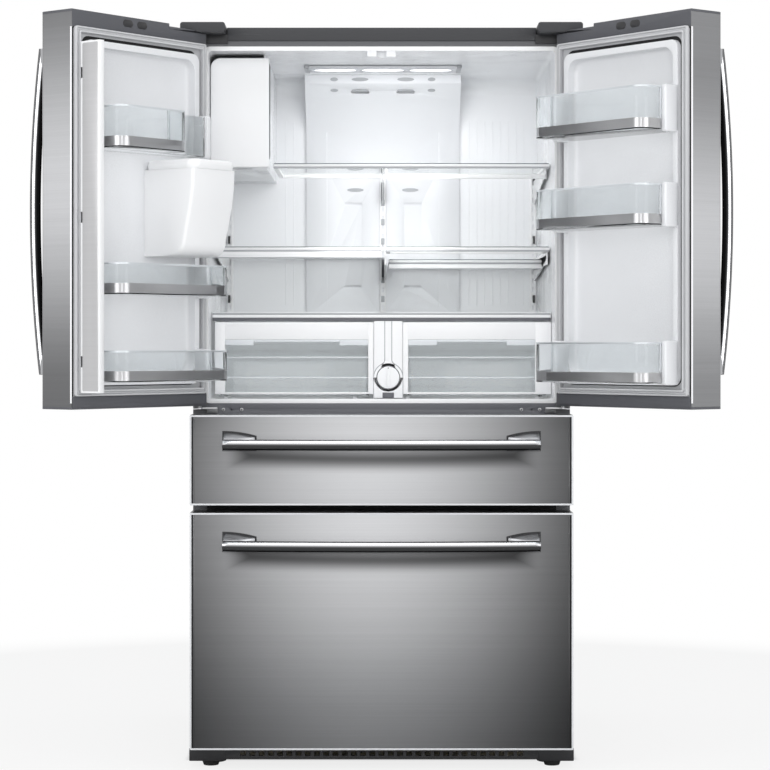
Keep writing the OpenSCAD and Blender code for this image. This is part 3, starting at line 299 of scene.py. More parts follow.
def principled(name, tone, metal=0.0, coat=0.0, ior=1.5):
    material = bpy.data.materials.new(name)
    material.use_nodes = True
    shader = material.node_tree.nodes["Principled BSDF"]
    for title, value in (("Base Color", (*tone, 1)), ("Metallic", metal), ("Coat Weight", coat), ("IOR", ior)):
        shader.inputs[title].default_value = value
    return material, shader


def addSkin(material, shader, group, values):
    # the group's colour, roughness and normal go into the shader
    made = addNode(material.node_tree, "Group", values, node_tree=group)
    for end, socket in (("Colour", "Base Color"), ("Roughness", "Roughness"), ("Normal", "Normal")):
        material.node_tree.links.new(made[end], shader.inputs[socket])


def moulded(name, tone, rough=0.35, contrast=0.05, bump=0.12, grain=700, coat=0.0):
    material, shader = principled(name, tone, coat=coat)
    addSkin(material, shader, mouldSkin, {"Colour": (*tone, 1), "Grain scale": grain, "Contrast": contrast,
        "Rough": rough, "Rough spread": 0.12, "Bump": bump})
    return material


def brushed(name, tone, stretch, rough=0.3, contrast=0.3, tones=(), tint=1.0):
    # the groups given in turn paint light and shade into the colour, each with its values
    material, shader = principled(name, tone, metal=1.0)
    tree = material.node_tree
    shader.inputs["Anisotropic"].default_value = 0.5
    shader.inputs["Specular Tint"].default_value = (tint, tint, tint, 1)
    colour = (*tone, 1)
    for group, values in tones:
        colour = addNode(tree, "Group", {"Colour": colour, **values}, node_tree=group)["Colour"]
    addSkin(material, shader, brushLines, {"Colour": colour, "Stretch": stretch, "Contrast": contrast,
        "Rough": rough, "Rough spread": 0.12, "Bump": 0.25})
    tree.links.new(addNode(tree, "Tangent", (), axis="Z")[0], shader.inputs["Tangent"])
    return material


def clear(name, tone, rough, ior):
    # glass or clear plastic that lets lamps through
    material, shader = principled(name, tone, ior=ior)
    tree = material.node_tree
    shader.inputs["Transmission Weight"].default_value = 1
    addSkin(material, shader, mouldSkin, {"Colour": (*tone, 1), "Grain scale": 90, "Contrast": 0.03,
        "Rough": rough, "Rough spread": 0.03, "Bump": 0.02})
    through = addNode(tree, "BsdfTransparent", {"Color": (0.9, 0.9, 0.9, 1)})[0]
    shadow = tree.nodes.new("ShaderNodeLightPath").outputs["Is Shadow Ray"]
    mix = addNode(tree, "MixShader", (shadow, shader.outputs[0], through))[0]
    tree.links.new(mix, tree.nodes["Material Output"].inputs["Surface"])
    return material


def glowing(name, tone, strength):
    material, shader = principled(name, tone)
    addSkin(material, shader, mouldSkin, {"Colour": (*tone, 1), "Grain scale": 300, "Contrast": 0.04})
    shader.inputs["Emission Color"].default_value = (1, 1, 1, 1)
    shader.inputs["Emission Strength"].default_value = strength
    return material


acrossBrush = (2.2, 2.2, 620)
drawerTone = (0.64, 0.645, 0.66)
# painted light on the drawer fronts: brightest near the middle, falling off towards the sides and away from a height
# of 0.68 m
drawerLightFall = {"Centre": (-0.03, 0, 0.68), "Reach": (0.61, 1, 0.66), "Edge": (0.05, 1, 0.42)}
barTone = (0.62, 0.625, 0.64)
barDrop = 0.008     # the drawer handles' bars lie below the middle of their posts
barHeight = {drawer: sum(corner.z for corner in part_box(drawer + "_handle")) / 2 - barDrop + lift
    for drawer, lift in (("flex", 0), ("freezer", 0.005))}


# a door's steel with painted light that falls off up and down from the height given as centre
def doorSteel(centre, reach, edge):
    return {"stretch": acrossBrush, "rough": 0.34,
        "tones": [(lightFall, {"Centre": (0, 0, centre), "Reach": (1, 1, reach), "Edge": (1, 1, edge)})]}


# a drawer's steel with a painted fall of light and the painted shadow of its bar
def drawerSteel(drawer):
    return {"stretch": acrossBrush, "rough": 0.34,
        "tones": [(lightFall, drawerLightFall), (barShade, {"Bar height": barHeight[drawer]})]}


# a bar's steel with painted highlight and shade by which way each side of it turns
def barSteel(stretch, group, direction):
    return {"stretch": stretch, "rough": 0.2, "contrast": 0.18, "tint": 0.3,
        "tones": [(group, {"Direction": direction})]}


looks = {
    # both doors are the same steel; the right is painted darker and each has its own painted fall of light
    "leftSteel": (brushed, (0.55, 0.555, 0.57), doorSteel(1.37, 0.48, 0.28)),
    "rightSteel": (brushed, (0.515, 0.52, 0.535), doorSteel(1.262, 0.38, 0.47)),
    "flexSteel": (brushed, drawerTone, drawerSteel("flex")),
    "freezerSteel": (brushed, drawerTone, drawerSteel("freezer")),
    "barSteelLevel": (brushed, barTone, barSteel((3, 500, 500), levelLitShade, (0, 0, 1))),
    "barSteelLeft": (brushed, barTone, barSteel((500, 500, 3), uprightLitShade, (-1, 0, 0))),
    "barSteelRight": (brushed, barTone, barSteel((500, 500, 3), uprightLitShade, (1, 0, 0))),
    # painted highlight for the bright lines along the doors' steel edges
    "edgeSteel": (brushed, (0.95, 0.955, 0.97), {"stretch": (30, 30, 30), "contrast": 0.1}),
    "postSteel": (brushed, (0.42, 0.425, 0.44), {"stretch": acrossBrush, "contrast": 0.2}),
    "trimSteel": (brushed, (0.55, 0.55, 0.56), {"stretch": acrossBrush, "contrast": 0.2}),
    "slideSteel": (brushed, (0.55, 0.56, 0.58), {"stretch": (4, 4, 300)}),
    "trackSteel": (brushed, (0.60, 0.61, 0.63), {"stretch": (300, 300, 4), "rough": 0.32}),
    "augerSteel": (brushed, (0.58, 0.59, 0.61), {"stretch": (120, 120, 120)}),
    "zincSheet": (brushed, (0.52, 0.53, 0.55), {"stretch": (25, 25, 30), "rough": 0.42, "contrast": 0.35}),
    "blackSteel": (moulded, (0.03, 0.03, 0.032), {"contrast": 0.3}),
    # painted highlight for the bright rim round the drawer fronts
    "rimSteel": (moulded, (0.68, 0.69, 0.71), {"rough": 0.25, "coat": 0.3}),
    "casePaint": (moulded, (0.115, 0.118, 0.125), {"rough": 0.45, "contrast": 0.08, "bump": 0.3, "grain": 900}),
    "linerWhite": (moulded, (0.84, 0.85, 0.87), {"rough": 0.28, "coat": 0.2}),
    # the liner's white painted darker, as painted shade on the door insides
    "doorWhite": (moulded, (0.76, 0.77, 0.79), {"rough": 0.28, "coat": 0.2}),
    "whitePlastic": (moulded, (0.88, 0.885, 0.895), {"rough": 0.3, "coat": 0.2}),
    "ductWhite": (moulded, (0.80, 0.81, 0.835), {"rough": 0.32}),
    "frosted": (moulded, (0.70, 0.73, 0.76), {"rough": 0.25, "coat": 0.4}),
    "ventGrey": (moulded, (0.42, 0.43, 0.45), {"rough": 0.5}),
    "flangeGrey": (moulded, (0.46, 0.465, 0.48), {"rough": 0.4}),
    "sealGrey": (moulded, (0.56, 0.565, 0.58), {"rough": 0.55, "contrast": 0.08}),
    "railGrey": (moulded, (0.125, 0.128, 0.142), {"rough": 0.42, "contrast": 0.12}),
    "capGrey": (moulded, (0.082, 0.084, 0.095), {"rough": 0.45, "contrast": 0.12}),
    "coverGrey": (moulded, (0.036, 0.037, 0.041), {"rough": 0.45, "contrast": 0.12}),
    "blackPlastic": (moulded, (0.018, 0.018, 0.02), {"rough": 0.38, "contrast": 0.2}),
    "glossBlack": (moulded, (0.01, 0.01, 0.012), {"rough": 0.08, "contrast": 0.1, "coat": 0.6}),
    # black for painted shade in gaps and along edges
    "gapBlack": (moulded, (0.006, 0.006, 0.007), {"rough": 0.8, "contrast": 0.2}),
    "footRubber": (moulded, (0.02, 0.02, 0.02), {"rough": 0.6, "contrast": 0.3}),
    "foam": (moulded, (0.80, 0.70, 0.48), {"rough": 0.8, "contrast": 0.25, "grain": 160, "bump": 0.5}),
    "glassEdge": (moulded, (0.13, 0.16, 0.16), {"rough": 0.15, "coat": 0.5}),
    "shelfGlass": (clear, (0.93, 0.97, 0.96), {"rough": 0.0, "ior": 1.45}),
    "clearPlastic": (clear, (0.97, 0.985, 0.99), {"rough": 0.03, "ior": 1.3}),
    "lampGlow": (glowing, (0.95, 0.95, 0.93), {"strength": 2.2}),
}
paint = {name: make(name, tone, **values) for name, (make, tone, values) in looks.items()}

nodesByLook = {
    "casePaint": "case_shell", "zincSheet": "rear_panels", "foam": "insulation", "railGrey": "cross_rails",
    "linerWhite": "fridge_liner flex_liner freezer_liner ice_housing mullion",
    "doorWhite": "left_liner right_liner", "ductWhite": "duct_cover",
    "whitePlastic": "top_shelf left_shelf right_shelf half_shelf crisper_cover filter_housing filter_knob "
        "ice_bucket ice_chute ceiling_light",
    "frosted": "flex_basket freezer_basket freezer_tray",
    "clearPlastic": "left_crisper right_crisper left_bins right_bins",
    "sealGrey": "left_gasket right_gasket flex_gasket freezer_gasket",
    "capGrey": "left_caps right_caps", "coverGrey": "top_covers",
    "blackPlastic": "toe_grille water_valve dispenser dispenser_lever",
    "blackSteel": "upper_hinges base_frame sealed_system",
    "footRubber": "front_feet left_roller right_roller",
    "leftSteel": "left_skin", "rightSteel": "right_skin", "flexSteel": "flex_front", "freezerSteel": "freezer_front",
    "barSteelLeft": "left_handle", "barSteelRight": "right_handle", "barSteelLevel": "flex_handle freezer_handle",
    "trimSteel": "lower_hinges", "trackSteel": "shelf_tracks", "augerSteel": "ice_auger",
    "slideSteel": "outer_rails flex_middle_rails freezer_middle_rails",
}
for look, nodes in nodesByLook.items():
    for node in nodes.split():
        materials = frame["nodes"][node].data.materials
        materials.clear()
        materials.append(paint[look])
print("materials done")


def bevelled(shape, edges, width, steps):
    if width > 0 and edges:
        bmesh.ops.bevel(shape, geom=edges, offset=width, offset_type="OFFSET", segments=steps, profile=0.5,
            affect="EDGES", material=-1, clamp_overlap=True)


def sharpEdges(shape, angle=40):
    return [e for e in shape.edges if len(e.link_faces) == 2 and e.calc_face_angle(0) > math.radians(angle)]


def along(edge, direction):
    line = (edge.verts[1].co - edge.verts[0].co).normalized()
    return abs(line.dot(Vector(direction))) > 0.999


def pushed(shape, made, reach):
    # moves what an extrusion has made
    bmesh.ops.translate(shape, vec=reach, verts=[part for part in made if isinstance(part, bmesh.types.BMVert)])


def sunk(shape, face, border, reach):
    # draws a face in by a border and moves what is left of it
    bmesh.ops.inset_region(shape, faces=[face], thickness=border, use_even_offset=True)
    inner = bmesh.ops.extrude_discrete_faces(shape, faces=[face])["faces"][0]
    bmesh.ops.translate(shape, vec=reach, verts=inner.verts)
    return inner


def cutThrough(shape, spot, normal, drop=False):
    # cuts a shape by a plane and, with drop, leaves out what lies beyond it
    bmesh.ops.bisect_plane(shape, geom=shape.verts[:] + shape.edges[:] + shape.faces[:], plane_co=spot,
        plane_no=normal, clear_outer=drop)


def prism(corners, reach, cornerRadius=0.0, edgeRadius=0.0, steps=5):
    # a flat outline drawn out along reach, with its corners and then its rims rounded
    shape = bmesh.new()
    shape.faces.new([shape.verts.new(c) for c in corners])
    pushed(shape, bmesh.ops.extrude_face_region(shape, geom=shape.faces[:])["geom"], reach)
    bmesh.ops.recalc_face_normals(shape, faces=shape.faces)
    way = Vector(reach).normalized()
    bevelled(shape, [e for e in sharpEdges(shape) if along(e, way)], cornerRadius, steps)
    bevelled(shape, [e for e in sharpEdges(shape, 50) if not along(e, way)], edgeRadius, 2)
    return shape


def brick(low, high, edgeRadius=0.001):
    shape = bmesh.new()
    bmesh.ops.create_cube(shape, size=1)
    bmesh.ops.scale(shape, vec=Vector(high) - Vector(low), verts=shape.verts)
    bmesh.ops.translate(shape, vec=(Vector(low) + Vector(high)) / 2, verts=shape.verts)
    bevelled(shape, shape.edges[:], edgeRadius, 2)
    return shape


def spotOn(axis, level, a, b):
    # a spot at a level on one axis, with its places on the other two
    spot = [a, b]
    spot.insert(axis, level)
    return spot


def slabAcross(low, high, cornerRadius, edgeRadius=0.001, axis=1, steps=5):
    # a box whose corners are rounded about one axis
    (a0, a1), (b0, b1) = [(low[i], high[i]) for i in range(3) if i != axis]
    corners = [spotOn(axis, low[axis], a, b) for a, b in ((a0, b0), (a1, b0), (a1, b1), (a0, b1))]
    return prism(corners, spotOn(axis, high[axis] - low[axis], 0, 0), cornerRadius, edgeRadius, steps)


def ring(low, high, width, cornerRadius=0.0, edgeRadius=0.001, axis=1):
    # a frame: a rounded outline with its middle taken out
    (a0, a1), (b0, b1) = [(low[i], high[i]) for i in range(3) if i != axis]
    shape, loops = bmesh.new(), []
    for inset, level in ((0, low[axis]), (width, low[axis]), (width, high[axis]), (0, high[axis])):
        radius = max(cornerRadius - inset, 0.001)
        more = inset + radius
        loop = []
        for turns, (a, b) in enumerate(((a1 - more, b1 - more), (a0 + more, b1 - more), (a0 + more, b0 + more),
                (a1 - more, b0 + more))):
            for i in range(6):
                angle = math.radians(90 * turns + 18 * i)
                spot = spotOn(axis, level, a + radius * math.cos(angle), b + radius * math.sin(angle))
                loop.append(shape.verts.new(spot))
        loops.append(loop)
    for i in range(4):
        one, two = loops[i - 1], loops[i]
        for j in range(len(one)):
            shape.faces.new((one[j - 1], one[j], two[j], two[j - 1]))
    bmesh.ops.recalc_face_normals(shape, faces=shape.faces)
    bevelled(shape, sharpEdges(shape, 50), edgeRadius, 2)
    return shape


def frameBetween(outer, inner, near, far):
    # the area between two upright outlines, each (x0, z0, x1, z1), filled from y near to y far
    shape = bmesh.new()
    rings = [[shape.verts.new((x, y, z)) for x, z in ((x0, z0), (x1, z0), (x1, z1), (x0, z1))]
        for y in (near, far) for x0, z0, x1, z1 in (outer, inner)]
    for a, b in ((0, 1), (1, 3), (3, 2), (2, 0)):
        for i in range(4):
            shape.faces.new((rings[a][i], rings[a][i - 1], rings[b][i - 1], rings[b][i]))
    bmesh.ops.recalc_face_normals(shape, faces=shape.faces)
    return shape


def disc(centre, radius, depth, axis="Y", edgeRadius=0.0, segments=40):
    # a short cylinder from centre along an axis
    shape = bmesh.new()
    bmesh.ops.create_cone(shape, cap_ends=True, segments=segments, radius1=radius, radius2=radius, depth=depth)
    bmesh.ops.translate(shape, vec=(0, 0, depth / 2), verts=shape.verts)
    bevelled(shape, sharpEdges(shape, 60), edgeRadius, 2)
    turn = {"Y": Matrix.Rotation(-math.pi / 2, 4, "X"), "Z": Matrix.Identity(4)}[axis]
    shape.transform(Matrix.Translation(centre) @ turn)
    return shape


def oval(place, wide, deep, drop, thick, segments):
    # a flat oval button, thick upwards from a little below its place
    shape = disc((0, 0, -drop), 1, thick, "Z", 0, segments)
    bmesh.ops.scale(shape, vec=(wide, deep, 1), verts=shape.verts)
    shape.transform(place)
    return shape


def spanOf(spots):
    # the lowest and the highest corner round some spots
    columns = list(zip(*spots))
    return [Vector([pick(column) for column in columns]) for pick in (min, max)]


def islands(shape):
    left = set(shape.verts)
    while left:
        group, edge = set(), [left.pop()]
        while edge:
            vert = edge.pop()
            group.add(vert)
            near = [e.other_vert(vert) for e in vert.link_edges]
            edge += [v for v in near if v in left]
            left.difference_update(near)
        yield list(group)


def nodeShape(node):
    shape = bmesh.new()
    shape.from_mesh(frame["nodes"][node].data)
    bmesh.ops.remove_doubles(shape, verts=shape.verts, dist=1e-6)
    return shape


def copied(node, edgeRadius=0.0, keep=None):
    # a merged copy of a node's mesh, with its sharp edges softened
    shape = nodeShape(node)
    bmesh.ops.dissolve_limit(shape, angle_limit=math.radians(0.3), verts=shape.verts, edges=shape.edges)
    if keep:
        lone = [v for group in islands(shape) if not keep(*spanOf(v.co for v in group)) for v in group]
        bmesh.ops.delete(shape, geom=lone, context="VERTS")
    bevelled(shape, sharpEdges(shape, 50), edgeRadius, 2)
    return shape


def merged(shapes):
    whole = bmesh.new()
    for shape in shapes:
        mesh = bpy.data.meshes.new("passing")
        shape.to_mesh(mesh)
        shape.free()
        whole.from_mesh(mesh)
        bpy.data.meshes.remove(mesh)
    return whole


def finished(name, shapes, look, body, slot, hides=(), place=None, smooth=35):
    whole = merged(shapes)
    if place is not None:
        whole.transform(place)
        if place.determinant() < 0:
            bmesh.ops.reverse_faces(whole, faces=whole.faces)
    for face in whole.faces:
        face.smooth = True
    mesh = bpy.data.meshes.new(name)
    whole.to_mesh(mesh)
    whole.free()
    mesh.set_sharp_from_angle(angle=math.radians(smooth))
    piece = bpy.data.objects.new(name, mesh)
    scene.collection.objects.link(piece)
    mesh.materials.append(paint[look])
    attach(piece, body)
    if hides:
        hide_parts(*hides)


def doorSwing(jointName):
    # takes what is drawn on the shut door to where the open door rests
    joint = next(j for j in frame["joints"] if j["name"] == jointName)
    pin = Vector(joint["pos_m"])
    turn = Matrix.Rotation(math.radians(-joint["range_deg"][0]), 4, Vector(joint["axis"]))
    return Matrix.Translation(pin) @ turn @ Matrix.Translation(-pin)


def shutBox(node, swing):
    back = swing.inverted()
    return spanOf(back @ v.co for v in frame["nodes"][node].data.vertices)


leftSwing = doorSwing("left_door_swing")
doorPlace = {"left": leftSwing, "right": Matrix.Scale(-1, 4, (1, 0, 0)) @ leftSwing}

skin = shutBox("left_skin", leftSwing)
caps = shutBox("left_caps", leftSwing)
linerLow, linerHigh = shutBox("right_liner", doorPlace["right"])
doorFront, doorInside = skin[0].y, skin[1].y          # outer and inner faces of the shut door
doorHinge, doorFree = skin[0].x, skin[1].x            # its hinge side and its free edge
doorFoot, doorTop = caps[0].z, caps[1].z

# the moulded inside of a door
innerSheet = {
    "border": 0.003, "hingeStep": 0.0375, "freeStep": 0.032, "footStep": 0.054, "topStep": 0.066,
    "dikeWide": 0.015, "dikeHigh": 0.012, "recess": 0.012, "back": 0.0025, "tuck": 0.004,
    "outerCorner": 0.020, "innerCorner": 0.030, "crown": 0.0045, "foot": 0.009,
    "lineThick": 0.0005, "line": (0.0042, 0.001, 0.003), "shade": (0.0125, 0.0026, 0.0088),
    "wingHigh": 0.050, "wingSunk": 0.006, "wingMore": 0.004, "wingCorner": 0.006, "wingEdge": 0.0035,
}
dikeBox = (doorHinge + innerSheet["hingeStep"], doorFoot + innerSheet["footStep"],
    doorFree - innerSheet["freeStep"], doorTop - innerSheet["topStep"])


def binSpans(side):
    # one box for each bin of a door, from the lowest up, on the shut door
    shape = nodeShape(side + "_bins")
    shape.transform(doorPlace[side].inverted())
    spans = sorted((spanOf(v.co for v in group) for group in islands(shape)), key=lambda span: span[0].z)
    shape.free()
    return spans


def doorInnerShapes(side):
    s = innerSheet
    x0, z0, x1, z1 = dikeBox
    base, crown = doorInside - s["recess"] - s["back"], doorInside + s["dikeHigh"]
    dike = bmesh.new()
    dike.faces.new([dike.verts.new((x, base, z)) for x, z in ((x0, z0), (x1, z0), (x1, z1), (x0, z1))])
    made = bmesh.ops.extrude_face_region(dike, geom=dike.faces[:])["geom"]
    pushed(dike, made, (0, crown - base, 0))
    bmesh.ops.recalc_face_normals(dike, faces=dike.faces)
    outer = [e for e in dike.edges if along(e, (0, 1, 0))]
    crest = next(part for part in made if isinstance(part, bmesh.types.BMFace))
    floor = sunk(dike, crest, s["dikeWide"], (0, -s["dikeHigh"] - s["recess"], 0)).verts[0].co.y
    inner = [e for e in dike.edges if along(e, (0, 1, 0)) and e not in outer]
    bevelled(dike, outer, s["outerCorner"], 6)
    bevelled(dike, [e for e in inner if e.is_valid], s["innerCorner"], 6)
    for level, width in ((crown, s["crown"]), (floor, s["foot"])):
        bevelled(dike, [e for e in sharpEdges(dike) if all(abs(v.co.y - level) < 1e-4 for v in e.verts)], width, 4)
    near, far, more = crown - s["wingSunk"], doorInside + s["wingHigh"], s["wingMore"]
    wings = [slabAcross((x, near, under.z - more), (x + s["dikeWide"], far, over.z + more), s["wingCorner"],
        s["wingEdge"], axis=0) for under, over in binSpans(side) for x in (x0, x1 - s["dikeWide"])]
    return [dike, *wings]


def doorBorder():
    # the flat border outside the dike
    x0, z0, x1, z1 = dikeBox
    tuck = innerSheet["tuck"]
    return frameBetween((linerLow.x, linerLow.z, linerHigh.x, linerHigh.z),
        (x0 + tuck, z0 + tuck, x1 - tuck, z1 - tuck), doorInside - innerSheet["border"], doorInside)


def doorShadeLines():
    # painted shadow: the dark lines at the border's two rims
    s = innerSheet
    x0, z0, x1, z1 = dikeBox
    wide, out, corner = s["line"]
    shadeWide, side, over = s["shade"]
    near, far = doorInside, doorInside + s["lineThick"]
    return [ring((linerLow.x - out, near, linerLow.z), (linerHigh.x + out, far, linerHigh.z), wide, corner, 0),
        ring((x0 - side, near, z0 - side), (x1 + side, far, z1 + over), shadeWide, s["outerCorner"] + side, 0)]


doorTrim = {"lips": ((doorHinge - 0.0004, 0.0018, 0.002), (doorFree - 0.0003, 0.0007, 0.0045)), "lipProud": 0.0004,
    "kick": (0.004, 0.0295), "kickThick": 0.003}
sealRibs = {"foot": 0.026, "thick": 0.0125,
    "ribs": ((0.0, 0.0040, 0.8), (0.0046, 0.0044, 0.6), (0.0096, 0.0044, 1.0))}


def sealShapes(low, high):
    # nested soft ribs round a front
    def band(step, near, far, width, corner, edge):
        return ring((low.x + step, low.y + near, low.z + step), (high.x - step, low.y + far, high.z - step),
            width, corner, edge)

    return [band(0.001, 0, 0.006, 0.012, 0.005, 0.0005)] + [
        band(start, 0.001, sealRibs["thick"] * tall, wide, 0.006, 0.0014) for start, wide, tall in sealRibs["ribs"]]


for side, place in doorPlace.items():
    body = side + "_door"
    finished(side + "DoorInner", doorInnerShapes(side), "doorWhite", body, "liner_plastic", [side + "_liner"], place)
    finished(side + "DoorBorder", [doorBorder()], "flangeGrey", body, "liner_plastic", (), place)
    finished(side + "DoorShadeLines", doorShadeLines(), "gapBlack", body, "gasket_vinyl", (), place)
    foot, top = [doorFoot + step for step in doorTrim["kick"]]
    kick = slabAcross((linerLow.x, doorInside, foot), (linerHigh.x, doorInside + doorTrim["kickThick"], top), 0.001)
    finished(side + "DoorKick", [kick], "capGrey", body, "door_cap", (), place)
    # thin bright strips at the hinge side and the free edge: painted highlights on the door's steel edges
    lips = [brick((x, doorInside - deep, linerLow.z), (x + wide, doorInside + doorTrim["lipProud"], linerHigh.z), 0)
        for x, wide, deep in doorTrim["lips"]]
    finished(side + "DoorEdgeHighlights", lips, "edgeSteel", body, "brushed_stainless", (), place)
    low, high = shutBox(side + "_gasket", place)
    low.z += sealRibs["foot"]
    finished(side + "DoorSeal", sealShapes(low, high), "sealGrey", body, "gasket_vinyl", [side + "_gasket"], place)
print("door inners and seals done")

# the bowed bars of the doors and the drawers, with their posts and pads
handleBar = {"radius": 0.0125, "reach": 0.068, "bow": 0.030, "postLong": 0.074, "postWide": 0.041, "postTop": 0.030,
    "pad": 0.0012, "padMore": 0.0034, "short": 0.0024, "margin": 0.0045, "topMore": 0.0008}


def bowedBar(length, drop):
    h = handleBar
    half = length / 2 - h["short"]
    out = h["reach"] - h["radius"]
    arc = (half * half + h["bow"] * h["bow"]) / (2 * h["bow"])
    sweep = math.asin(half / arc)
    centre = Vector((drop, arc - out, 0))
    bar = bmesh.new()
    bmesh.ops.create_circle(bar, cap_ends=True, segments=32, radius=h["radius"])
    bmesh.ops.translate(bar, vec=(drop, -out, 0), verts=bar.verts)
    bmesh.ops.rotate(bar, cent=centre, matrix=Matrix.Rotation(sweep, 3, "X"), verts=bar.verts)
    bmesh.ops.spin(bar, geom=bar.faces[:], cent=centre, axis=(1, 0, 0), angle=-2 * sweep, steps=48)
    bmesh.ops.recalc_face_normals(bar, faces=bar.faces)
    bevelled(bar, sharpEdges(bar, 60), 0.0012, 2)
    return bar


def postOutline(length, end, drop, y, share, more=0.0):
    # the outline of a post, from its wide foot (share 0) to its narrow top (share 1)
    h = handleBar
    outline = []
    for side, way in ((-1, 1), (1, -1)):
        foot = h["postWide"] / 2
        inner = min(foot, side * drop + h["radius"] + h["margin"])
        top = side * drop + h["radius"] + h["topMore"]
        for step in range(9)[::way]:
            t = step / 8
            wide = (foot + (inner - foot) * t * t) * (1 - share) + top * share + more
            long = h["postLong"] * (1 - share) + h["postTop"] * share
            outline.append((side * wide, y, end * (length / 2 - h["short"] + more - (long + 2 * more) * t)))
    return outline


def handlePost(length, end, drop):
    h = handleBar
    post = bmesh.new()
    foot, top = [[post.verts.new(c) for c in postOutline(length, end, drop, y, share)]
        for y, share in ((-h["pad"], 0), (h["bow"] + h["radius"] - h["reach"], 1))]
    post.faces.new(foot)
    post.faces.new(top)
    for i in range(len(foot)):
        post.faces.new((foot[i], foot[i - 1], top[i - 1], top[i]))
    bmesh.ops.recalc_face_normals(post, faces=post.faces)
    bevelled(post, sharpEdges(post, 50), 0.0014, 2)
    return post


def addHandle(name, node, body, length, place, look, drop=0.0):
    # drawn upright, standing off towards -Y from a front at Y = 0
    posts, pads = [], []
    for end in (-1, 1):
        posts.append(handlePost(length, end, drop))
        outline = postOutline(length, end, drop, 0, 0, handleBar["padMore"])
        pads.append(prism(outline, (0, -handleBar["pad"], 0)))
    finished(name, [bowedBar(length, drop)], look, body, "handle_steel", [node], place)
    finished(name + "Posts", posts, "postSteel", body, "handle_steel", [node], place)
    finished(name + "Pads", pads, "blackPlastic", body, "handle_steel", (), place)


for side, place in doorPlace.items():
    low, high = shutBox(side + "_handle", place)
    middle = (low + high) / 2
    addHandle(side + "DoorHandle", side + "_handle", side + "_door", high.z - low.z,
        place @ Matrix.Translation((middle.x, doorFront, middle.z)), "barSteel" + side.title())
for drawer in ("flex", "freezer"):
    low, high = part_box(drawer + "_handle")
    spot = ((low.x + high.x) / 2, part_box(drawer + "_front")[0].y, barHeight[drawer] + barDrop)
    addHandle(drawer + "Handle", drawer + "_handle", drawer + "_drawer", high.x - low.x,
        Matrix.Translation(spot) @ Matrix.Rotation(math.pi / 2, 4, "Y"), "barSteelLevel", barDrop)
print("handles done")

# metal strips, clear rims and brackets of the door bins
binTrim = {"stripTall": 0.022, "stripLift": 0.003, "stripThick": 0.0012, "corner": 0.024, "rimTall": 0.004,
    "rimThick": 0.0014, "rimMore": 0.0004, "bracketWide": 0.0026, "bracketDeep": 0.005, "bracketOut": 0.0006,
    "bracketLift": 0.004, "shallowStart": 0.1315}


def wallAround(x0, x1, back, front, z0, z1, thick):
    # an open U of wall round the front of a bin
    path = bmesh.new()
    spots = [path.verts.new(p) for p in ((x0, back, z0), (x0, front, z0), (x1, front, z0), (x1, back, z0))]
    edges = [path.edges.new(pair) for pair in zip(spots, spots[1:])]
    pushed(path, bmesh.ops.extrude_edge_only(path, edges=edges)["geom"], (0, 0, z1 - z0))
    bevelled(path, [e for e in sharpEdges(path) if along(e, (0, 0, 1))], binTrim["corner"], 7)
    bmesh.ops.recalc_face_normals(path, faces=path.faces)
    bmesh.ops.solidify(path, geom=path.faces[:], thickness=thick)
    bmesh.ops.recalc_face_normals(path, faces=path.faces)
    return path


def addBins(side, place):
    b, body = binTrim, side + "_door"
    finished(side + "Bins", [copied(side + "_bins", 0.0008)], "clearPlastic", body, "clear_plastic", [side + "_bins"])
    back = doorInside + innerSheet["wingHigh"] + 0.001
    strips, rims = [], []
    for count, (low, high) in enumerate(binSpans(side)):
        x0 = low.x + (b["shallowStart"] if side == "left" and count == 2 else 0)
        foot, rim = low.z + b["stripLift"], high.z - b["rimTall"]
        strips.append(wallAround(x0, high.x, back, high.y, foot, foot + b["stripTall"], b["stripThick"]))
        rims.append(wallAround(x0, high.x, back, high.y, rim, high.z + b["rimMore"], b["rimThick"]))
        rims += [brick((x - b["bracketOut"], back, low.z + b["bracketLift"]),
            (x + b["bracketWide"], back + b["bracketDeep"], high.z), 0.0012) for x in (x0, high.x - b["bracketWide"])]
    finished(side + "BinStrips", strips, "trimSteel", body, "track_metal", (), place)
    finished(side + "BinRims", rims, "frosted", body, "clear_plastic", (), place)


for side, place in doorPlace.items():
    addBins(side, place)
print("door bins done")

# the ice chute's housing on the left door
chuteCap = {"bend": 0.034, "draft": 0.034, "tall": 0.024, "corner": 0.026, "edge": 0.008, "soft": 0.014,
    "mouth": 0.036, "sealWide": 0.007, "mouthSpot": (0.070, 0.088), "sunk": 0.0005, "sealThick": 0.0016}


def chuteShapes(low, high):
    c = chuteCap
    reach, bend = high.y, c["bend"]
    turn = [math.radians(10 * i - 90) for i in range(10)]
    bulge = [(reach - c["draft"] - bend + bend * math.cos(a), low.z + bend + bend * math.sin(a)) for a in turn]
    top = high.z - c["tall"] + 0.002
    outline = [(low.y, low.z), *bulge, (reach - 0.014, top - 0.085), (reach - 0.007, top - 0.040),
        (reach - 0.006, top), (low.y, top)]
    body = prism([(low.x, y, z) for y, z in outline], (high.x - 0.004 - low.x, 0, 0))
    rims = [e for e in sharpEdges(body, 60)
        if not along(e, (1, 0, 0)) and min(v.co.y for v in e.verts) > low.y + 0.02]
    bevelled(body, rims, c["soft"], 5)
    cap = slabAcross((low.x, low.y, high.z - c["tall"]), high, c["corner"], c["edge"], axis=2, steps=8)
    cutThrough(cap, (0, 0, high.z - c["sunk"]), (0, 0, 1))
    return [body, cap]


